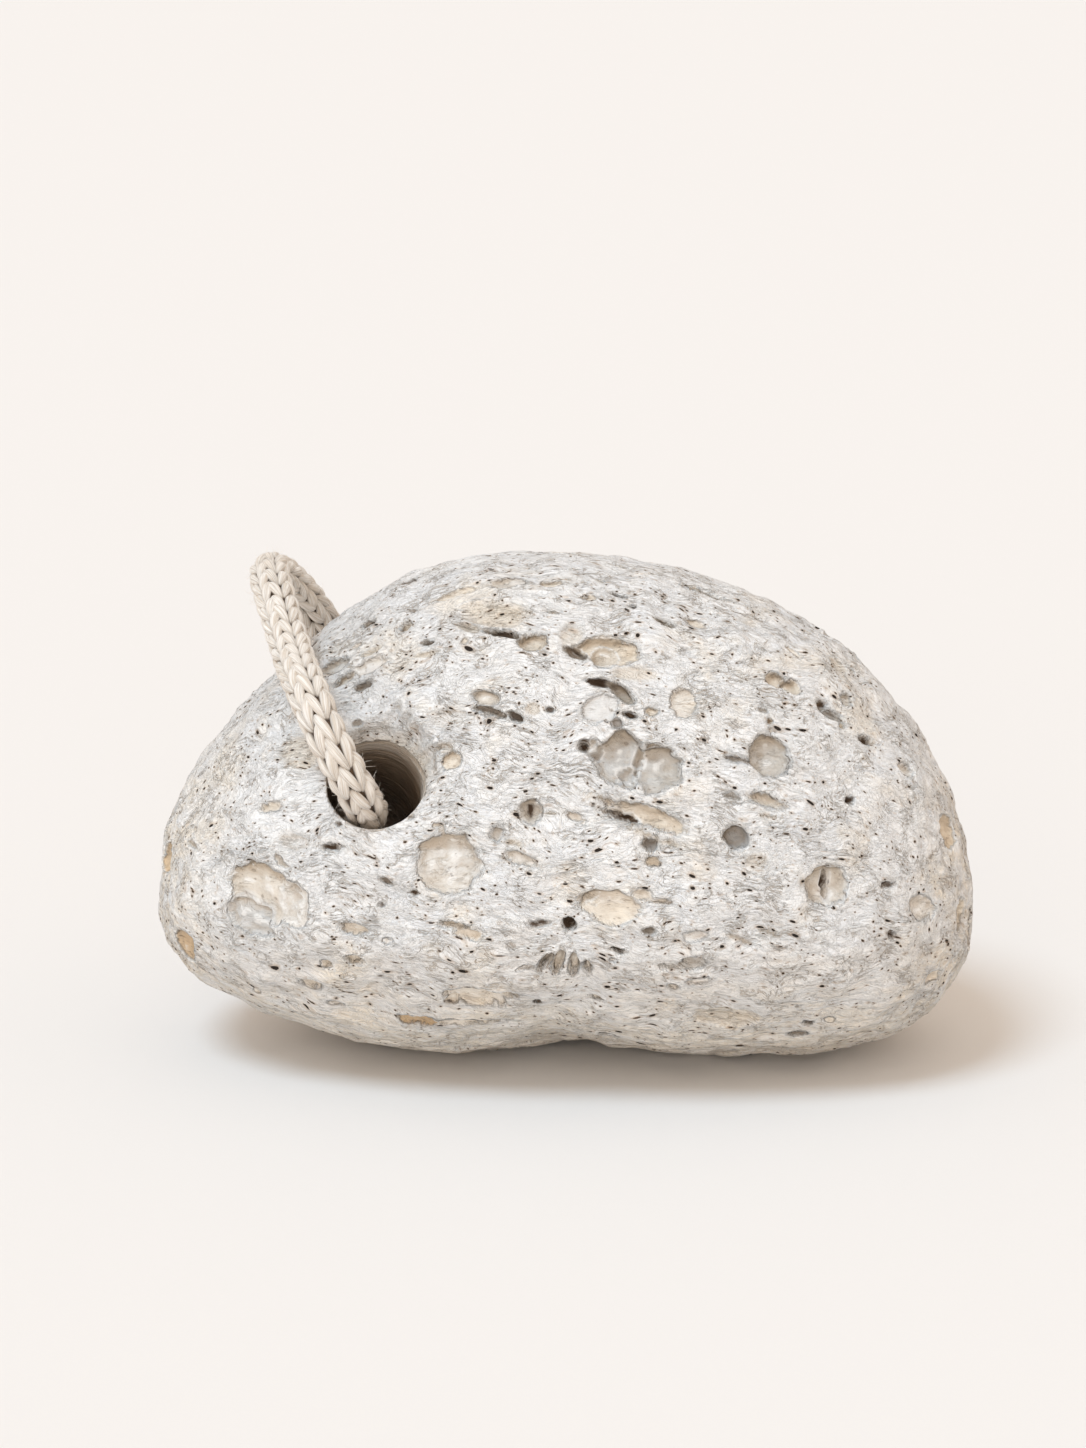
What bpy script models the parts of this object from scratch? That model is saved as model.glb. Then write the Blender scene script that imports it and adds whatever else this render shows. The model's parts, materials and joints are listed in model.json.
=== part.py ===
"""A pumice foot stone with a drilled hole and a short loop of knitted cotton cord through it.

Metres, +Z up. The stone stands on the XY plane. Its length lies along X, and its left end, at -X,
has the hole, which falls away towards the back, at +Y.
"""

import math
import random

import bmesh
import bpy
import numpy as np
from mathutils import Vector

MM = 0.001

# The stone's outline, in a plane that leans back from upright, as (right, up) in mm from the
# stone's middle, anticlockwise from the right end.
OUTLINE_LEAN = math.radians(15.0)
OUTLINE_MM = (
    (51.5, -9.5),
    (47.8, 4.0),
    (42.1, 13.5),
    (33.5, 21.6),
    (20.8, 28.2),
    (8.2, 31.5),
    (-4.6, 32.3),
    (-14.8, 31.0),
    (-24.7, 26.5),
    (-34.9, 18.3),
    (-46.8, 5.6),
    (-50.4, -1.8),
    (-51.9, -9.5),
    (-51.5, -15.6),
    (-47.8, -20.9),
    (-39.9, -25.6),
    (-29.9, -29.2),
    (-16.8, -31.5),
    (2.4, -30.0),
    (10.8, -31.2),
    (25.3, -31.5),
    (36.6, -30.2),
    (45.1, -27.0),
    (51.0, -18.6),
)
HALF_DEPTH = 30.5 * MM
MIDDLE_BACK = 0.25 * MM  # centres the stone's box on the origin
MIDDLE_RIGHT = 0.1 * MM
FULLNESS = 2.3  # 2 would be an ellipse from front to back, and more is boxier
MIDDLE_HEIGHT = 31.2 * MM  # the lobes' undersides pass the ground by a little and are worn flat

# Broad swellings and hollows: azimuth and elevation in degrees (0 is right, 90 is the back),
# the rise in mm, and the angle in degrees over which it fades.
LUMPS = (
    (-140, 25, -1.5, 22),  # the slope round the hole
    (-75, -20, 1.5, 30),  # the belly of the front
    (-95, 55, 0.8, 26),  # the brow
    (-100, -50, -0.8, 14),  # the waist under the front
    (-35, 5, 1.0, 24),
    (60, 20, 1.8, 28),
    (115, -15, -1.8, 24),
    (150, 30, 1.2, 24),
    (85, -65, -1.4, 18),
    (100, -70, 1.2, 14),
)

# The rock's bubbles were drawn out along this direction.
FLOW_DIP = math.radians(8.0)

# The main pits of the front: (right, up) of the middle in the outline's plane, half the length
# along the flow, half the width, and the depth, all in mm.
FRONT_PITS_MM = (
    (-37.4, -11.6, 5.8, 4.1, 1.6),
    (-14.5, -7.1, 3.8, 3.7, 1.4),
    (8.9, 4.8, 5.3, 3.6, 2.4),
    (24.3, 6.0, 2.8, 2.7, 2.2),
    (31.0, -9.7, 2.7, 2.6, 2.2),
    (5.2, 18.6, 4.0, 2.2, 1.8),
    (-7.0, 20.6, 3.8, 1.5, 1.7),
    (8.7, -1.5, 6.2, 1.4, 1.6),
    (-0.3, -18.7, 3.2, 2.0, 1.2),
    (5.1, -11.9, 3.6, 2.4, 0.9),
    (-11.1, -23.8, 5.2, 1.7, 1.2),
    (19.4, -25.7, 4.6, 2.3, 1.0),
    (17.6, 26.9, 5.4, 1.5, 1.4),
    (5.1, 13.9, 3.0, 1.3, 1.4),
    (-33.8, 7.1, 3.0, 2.4, 0.8),
    (20.2, -3.8, 1.6, 1.5, 1.5),
    (26.4, 15.1, 2.2, 1.5, 1.1),
)

# The pits of the other sides, scattered evenly at a steady pace round the stone.
OTHER_PIT_COUNT = 56
OTHER_PIT_SEED = 12
OTHER_PIT_HALF_MM = (1.5, 4.6)
OTHER_PIT_DEPTH_SHARE = 0.42

# The drilled hole.
HOLE_RADIUS = 6.0 * MM
MOUTH = Vector((-23.0, -24.9, 41.1)) * MM
HOLE_FALL = math.radians(28.3)
HOLE_TURN = math.radians(6.0)  # towards the left end
HOLE_REACH = 70.0 * MM
# The mouth's worn upper edge: (right, up) in the outline's plane, then as for a pit.
MOUTH_WEAR_MM = (-23.2, 5.3, 6.6, 6.9, 2.2)

# The cord: its route starts in the middle of the hole, leaves by the mouth, arches back over the
# shoulder, comes down behind, and meets its own start inside the hole.
CORD_RADIUS = 2.55 * MM
CORD_ROUTE_MM = (
    (-28.0, -1.8, 27.3),
    (-26.8, -9.4, 30.8),
    (-25.4, -16.0, 33.7),
    (-24.4, -22.3, 36.7),
    (-25.6, -26.8, 40.6),
    (-27.8, -28.0, 45.3),
    (-30.2, -25.6, 49.8),
    (-32.1, -20.4, 52.4),
    (-33.6, -14.2, 53.9),
    (-35.2, -7.6, 56.5),
    (-36.9, -0.6, 59.3),
    (-37.7, 6.2, 60.4),
    (-36.1, 12.6, 58.0),
    (-33.3, 18.1, 53.2),
    (-30.9, 23.4, 46.8),
    (-29.8, 27.9, 39.6),
    (-29.7, 30.5, 31.6),
    (-30.2, 30.8, 24.2),
    (-30.6, 28.0, 18.2),
    (-30.3, 22.1, 15.8),
    (-29.7, 14.6, 18.3),
    (-28.8, 6.6, 22.7),
    (-28.1, -1.1, 26.95),
)
CORD_STEP = 4.0 * MM
CORD_ROUNDNESS = 3

SPHERE_SUBDIVISIONS = 7
KEPT_SHARE = 0.095


def clear_scene():
    for thing in list(bpy.data.objects):
        bpy.data.objects.remove(thing, do_unlink=True)


def new_collection(name):
    group = bpy.data.collections.new(name)
    bpy.context.scene.collection.children.link(group)
    return group


def plain_material(name, colour, roughness):
    material = bpy.data.materials.new(name)
    material.use_nodes = True
    shader = material.node_tree.nodes["Principled BSDF"]
    shader.inputs["Base Color"].default_value = (*colour, 1.0)
    shader.inputs["Roughness"].default_value = roughness
    shader.inputs["Metallic"].default_value = 0.0
    return material


def outline_radius(clock):
    """The outline's distance from the middle, in metres, at each clock angle."""
    points = np.array(OUTLINE_MM) * MM
    angles = np.arctan2(points[:, 1], points[:, 0])
    radii = np.hypot(points[:, 0], points[:, 1])
    order = np.argsort(angles)
    angles, radii = angles[order], radii[order]
    angles = np.concatenate([angles[-2:] - math.tau, angles, angles[:2] + math.tau])
    radii = np.concatenate([radii[-2:], radii, radii[:2]])
    slopes = np.gradient(radii, angles)
    i = np.clip(np.searchsorted(angles, clock) - 1, 0, len(angles) - 2)
    gap = angles[i + 1] - angles[i]
    t = (clock - angles[i]) / gap
    return (
        radii[i] * (1 + 2 * t) * (1 - t) ** 2
        + slopes[i] * gap * t * (1 - t) ** 2
        + radii[i + 1] * t * t * (3 - 2 * t)
        + slopes[i + 1] * gap * t * t * (t - 1)
    )


RIGHT = np.array([1.0, 0.0, 0.0])
UP = np.array([0.0, math.sin(OUTLINE_LEAN), math.cos(OUTLINE_LEAN)])
FRONT = np.array([0.0, -math.cos(OUTLINE_LEAN), math.sin(OUTLINE_LEAN)])
FLOW = np.array([math.cos(FLOW_DIP), 0.0, -math.sin(FLOW_DIP)])


def unit(vectors):
    return vectors / np.linalg.norm(vectors, axis=-1, keepdims=True)


def heading(azimuth, elevation):
    azimuth, elevation = math.radians(azimuth), math.radians(elevation)
    flat = math.cos(elevation)
    return np.array([flat * math.cos(azimuth), flat * math.sin(azimuth), math.sin(elevation)])


def stone_form(directions):
    """The smooth stone without its pits: the surface point in each direction of a unit sphere."""
    right, up, front = directions @ RIGHT, directions @ UP, directions @ FRONT
    side = np.hypot(right, up)
    across = outline_radius(np.arctan2(up, right)) * side ** (2 / FULLNESS)
    out = HALF_DEPTH * np.sign(front) * np.abs(front) ** (2 / FULLNESS)
    side = np.maximum(side, 1e-9)
    points = (across * right / side)[:, None] * RIGHT + (across * up / side)[:, None] * UP
    points = points + out[:, None] * FRONT
    for azimuth, elevation, rise, fade in LUMPS:
        angle = np.arccos(np.clip(unit(points) @ heading(azimuth, elevation), -1, 1))
        swell = rise * MM * np.exp(-((angle / math.radians(fade)) ** 2))
        points = points + swell[:, None] * unit(points)
    return points + np.array([MIDDLE_RIGHT, MIDDLE_BACK, MIDDLE_HEIGHT])


def front_direction(right_mm, up_mm):
    """The direction of the sphere that the form puts at this place of the outline's plane."""
    clock = np.array([math.atan2(up_mm, right_mm)])
    share = math.hypot(right_mm, up_mm) * MM / outline_radius(clock)[0]
    side = share ** (FULLNESS / 2)
    front = math.sqrt(max(0.0, 1 - side * side))
    return unit(side * (math.cos(clock[0]) * RIGHT + math.sin(clock[0]) * UP) + front * FRONT)


def surface_frame(direction):
    """The form's point in one direction, its outward normal, and two tangents, the first along the flow."""
    step = 0.01
    aside = unit(np.cross(direction, UP + 0.3 * RIGHT))
    above = np.cross(direction, aside)
    near = unit(np.stack([direction, direction + step * aside, direction + step * above]))
    middle, one, other = stone_form(near)
    normal = unit(np.cross(one - middle, other - middle))
    normal = normal * np.sign(normal @ direction)
    along = unit(FLOW - (FLOW @ normal) * normal)
    return middle, normal, along, np.cross(normal, along)


def carve(points, frame, half_length, half_width, depth):
    """Push the points inside an oval in from the surface, most in its middle."""
    middle, normal, along, across = frame
    offset = points - middle
    near = np.linalg.norm(offset, axis=1) < 1.5 * max(half_length, half_width)
    oval = np.hypot(offset[near] @ along / half_length, offset[near] @ across / half_width)
    bowl = np.clip(1 - oval**2.6, 0, 1)
    points[near] -= (depth * bowl)[:, None] * normal


def other_pits():
    """Seeded pits away from the front: frame, half length, half width and depth."""
    chance = random.Random(OTHER_PIT_SEED)
    pits = []
    golden = math.pi * (3 - math.sqrt(5))
    for i in range(OTHER_PIT_COUNT):
        rise = 1 - 2 * (i + 0.5) / OTHER_PIT_COUNT
        turn = i * golden + chance.uniform(-0.35, 0.35)
        flat = math.sqrt(1 - rise * rise)
        direction = np.array([flat * math.cos(turn), flat * math.sin(turn), rise])
        half = chance.uniform(*OTHER_PIT_HALF_MM) * MM
        narrow = half * chance.uniform(0.45, 0.95)
        if direction @ FRONT < 0.15 and direction[2] > -0.7:
            pits.append((surface_frame(direction), half, narrow, OTHER_PIT_DEPTH_SHARE * narrow))
    return pits


def hole_axis():
    flat = math.cos(HOLE_FALL)
    return Vector((-flat * math.sin(HOLE_TURN), flat * math.cos(HOLE_TURN), -math.sin(HOLE_FALL)))


def hole_cutter(group):
    axis = hole_axis()
    start = MOUTH - 12 * MM * axis
    bpy.ops.mesh.primitive_cylinder_add(
        vertices=28, radius=HOLE_RADIUS, depth=HOLE_REACH, location=start + axis * HOLE_REACH / 2
    )
    cutter = bpy.context.object
    cutter.rotation_mode = "QUATERNION"
    cutter.rotation_quaternion = axis.to_track_quat("Z", "Y")
    return as_cutter(cutter, "hole_cutter", group)


def ground_cutter(group):
    """What the stone's underside has lost where it is worn flat."""
    bpy.ops.mesh.primitive_cube_add(size=1, location=(0, 0, -10 * MM))
    cutter = bpy.context.object
    cutter.scale = (140 * MM, 100 * MM, 20 * MM)
    return as_cutter(cutter, "ground_cutter", group)


def as_cutter(thing, name, group):
    thing.name = name
    for other in list(thing.users_collection):
        other.objects.unlink(thing)
    group.objects.link(thing)
    thing.hide_render = True
    thing.display_type = "WIRE"
    return thing


def make_stone(group, cutters):
    mesh = bpy.data.meshes.new("pumice_stone")
    build = bmesh.new()
    bmesh.ops.create_icosphere(build, subdivisions=SPHERE_SUBDIVISIONS, radius=1.0)
    build.to_mesh(mesh)
    build.free()
    flat = np.empty(len(mesh.vertices) * 3, np.float32)
    mesh.vertices.foreach_get("co", flat)
    points = stone_form(unit(flat.reshape(-1, 3).astype(np.float64)))
    for right, up, half_length, half_width, depth in (*FRONT_PITS_MM, MOUTH_WEAR_MM):
        frame = surface_frame(front_direction(right, up))
        carve(points, frame, half_length * MM, half_width * MM, depth * MM)
    for frame, half_length, half_width, depth in other_pits():
        carve(points, frame, half_length, half_width, depth)
    mesh.vertices.foreach_set("co", points.astype(np.float32).ravel())
    mesh.update()
    mesh.materials.append(plain_material("pumice", (0.74, 0.73, 0.71), 0.92))
    stone = bpy.data.objects.new("pumice_stone", mesh)
    group.objects.link(stone)
    fewer = stone.modifiers.new("fewer_faces", "DECIMATE")
    fewer.ratio = KEPT_SHARE
    for cutter in cutters:
        cut = stone.modifiers.new(cutter.name, "BOOLEAN")
        cut.operation = "DIFFERENCE"
        cut.solver = "EXACT"
        cut.object = cutter
    return stone


def smooth_route():
    """Points a step apart along the natural cubic spline through the cord's route."""
    knots = np.array(CORD_ROUTE_MM) * MM
    gaps = np.linalg.norm(np.diff(knots, axis=0), axis=1)
    at = np.concatenate([[0.0], np.cumsum(gaps)])
    count = len(knots)
    matrix = np.eye(count)
    bends = np.zeros((count, 3))
    for i in range(1, count - 1):
        matrix[i, i - 1 : i + 2] = gaps[i - 1], 2 * (gaps[i - 1] + gaps[i]), gaps[i]
        bends[i] = (knots[i + 1] - knots[i]) / gaps[i] - (knots[i] - knots[i - 1]) / gaps[i - 1]
    bends = np.linalg.solve(matrix, 6 * bends)
    t = np.linspace(0, at[-1], round(at[-1] / CORD_STEP) + 1)
    i = np.clip(np.searchsorted(at, t, side="right") - 1, 0, count - 2)
    gap, past, left = gaps[i, None], (t - at[i])[:, None], (at[i + 1] - t)[:, None]
    return (
        (bends[i] * left**3 + bends[i + 1] * past**3) / (6 * gap)
        + (knots[i] / gap - bends[i] * gap / 6) * left
        + (knots[i + 1] / gap - bends[i + 1] * gap / 6) * past
    )


def make_cord(group):
    route = smooth_route()
    curve = bpy.data.curves.new("cord_loop", "CURVE")
    curve.dimensions = "3D"
    curve.bevel_depth = CORD_RADIUS
    curve.bevel_resolution = CORD_ROUNDNESS
    curve.use_fill_caps = True
    line = curve.splines.new("POLY")
    line.points.add(len(route) - 1)
    for point, place in zip(line.points, route):
        point.co = (*place, 1.0)
    curve.materials.append(plain_material("knitted cotton", (0.83, 0.77, 0.68), 0.95))
    cord = bpy.data.objects.new("cord_loop", curve)
    group.objects.link(cord)
    return cord


def main():
    clear_scene()
    parts = new_collection("pumice stone")
    tools = new_collection("cutters")
    make_stone(parts, [ground_cutter(tools), hole_cutter(tools)])
    make_cord(parts)


main()
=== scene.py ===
"""The looks of a pumice foot stone and its loop of knitted cotton cord.

Metres and +Z up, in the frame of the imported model: +X is the right of the main view, +Y is away
from it, and the stone stands on z = 0. Names that end in MM or _MM hold millimetres.
"""

import json
import math
import random
from types import SimpleNamespace

import bmesh
import bpy
import numpy as np
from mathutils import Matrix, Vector, kdtree

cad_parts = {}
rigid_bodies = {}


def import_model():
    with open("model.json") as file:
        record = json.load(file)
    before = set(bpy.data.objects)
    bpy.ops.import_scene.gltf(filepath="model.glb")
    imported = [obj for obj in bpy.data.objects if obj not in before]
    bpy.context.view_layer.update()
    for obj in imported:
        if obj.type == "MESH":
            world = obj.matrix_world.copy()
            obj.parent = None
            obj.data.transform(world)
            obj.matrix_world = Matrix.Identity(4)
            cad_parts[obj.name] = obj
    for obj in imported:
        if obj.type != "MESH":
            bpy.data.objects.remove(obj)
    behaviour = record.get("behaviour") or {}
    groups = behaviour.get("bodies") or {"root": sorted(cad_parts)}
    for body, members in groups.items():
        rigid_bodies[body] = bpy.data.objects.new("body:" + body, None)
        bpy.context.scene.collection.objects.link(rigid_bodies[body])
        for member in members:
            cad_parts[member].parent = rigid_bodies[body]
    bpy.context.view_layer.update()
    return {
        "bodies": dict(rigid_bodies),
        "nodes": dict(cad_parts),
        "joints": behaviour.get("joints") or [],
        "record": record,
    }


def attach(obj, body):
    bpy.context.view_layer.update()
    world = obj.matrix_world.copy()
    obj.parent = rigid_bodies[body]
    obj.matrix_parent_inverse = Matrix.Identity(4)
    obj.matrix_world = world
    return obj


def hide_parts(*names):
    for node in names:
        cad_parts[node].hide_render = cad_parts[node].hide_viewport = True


MM = 0.001

# ---------------------------------------------------------------- the view
# The camera looks down on the stone by this angle, as the outline below leans back by it.
VIEW_FALL = math.radians(15.0)
VIEW_DISTANCE = 0.560
VIEW_MIDDLE = Vector((0.0, 0.0, 0.0312))
AIM_LEFT = 2.9 * MM  # the stone stands a little right of and below the picture's middle
AIM_ABOVE = 10.5 * MM
LENS_MM = 108.8
SENSOR_MM = 36.0

# ---------------------------------------------------------------- the stone's form
# The outline, in a plane that leans back by VIEW_FALL, as (right, up) in mm from the stone's
# middle, anticlockwise from the right end.
OUTLINE_MM = (
    (51.5, -9.5), (47.8, 4.0), (42.1, 13.5), (33.5, 21.6), (20.8, 28.2), (8.2, 31.5),
    (-4.6, 32.3), (-14.8, 31.0), (-24.7, 26.5), (-34.9, 18.3), (-46.8, 5.6), (-50.4, -1.8),
    (-51.9, -9.5), (-51.5, -15.6), (-47.8, -20.9), (-39.9, -25.6), (-29.9, -29.2), (-16.8, -31.5),
    (2.4, -30.0), (10.8, -31.2), (25.3, -31.5), (36.6, -30.2), (45.1, -27.0), (51.0, -18.6),
)
HALF_DEPTH = 30.5 * MM
STONE_MIDDLE = np.array([0.1, 0.25, 31.2]) * MM
FULLNESS = 2.3  # 2 would be an ellipse from front to back, and more is boxier

# Broad swellings and hollows: azimuth and elevation in degrees (0 is right, 90 is the back),
# the rise in mm, and the angle in degrees over which it fades.
LUMPS = (
    (-140, 25, -1.5, 22),  # the slope round the hole
    (-75, -20, 1.5, 30),  # the belly of the front
    (-95, 55, 0.8, 26),  # the brow
    (-100, -50, -0.8, 14),  # the waist under the front
    (-35, 5, 1.0, 24),
    (60, 20, 1.8, 28),
    (115, -15, -1.8, 24),
    (150, 30, 1.2, 24),
    (85, -65, -1.4, 18),
    (100, -70, 1.2, 14),
)

# ---------------------------------------------------------------- the stone's fine surface
SPHERE_CUTS = 93  # each edge of a once divided icosahedron, cut into one more than this
FRONT_SHARE = 0.36  # how far the mesh is drawn together on the side that shows

# The rock's bubbles were drawn out along this direction.
FLOW_DIP = math.radians(8.0)

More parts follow.
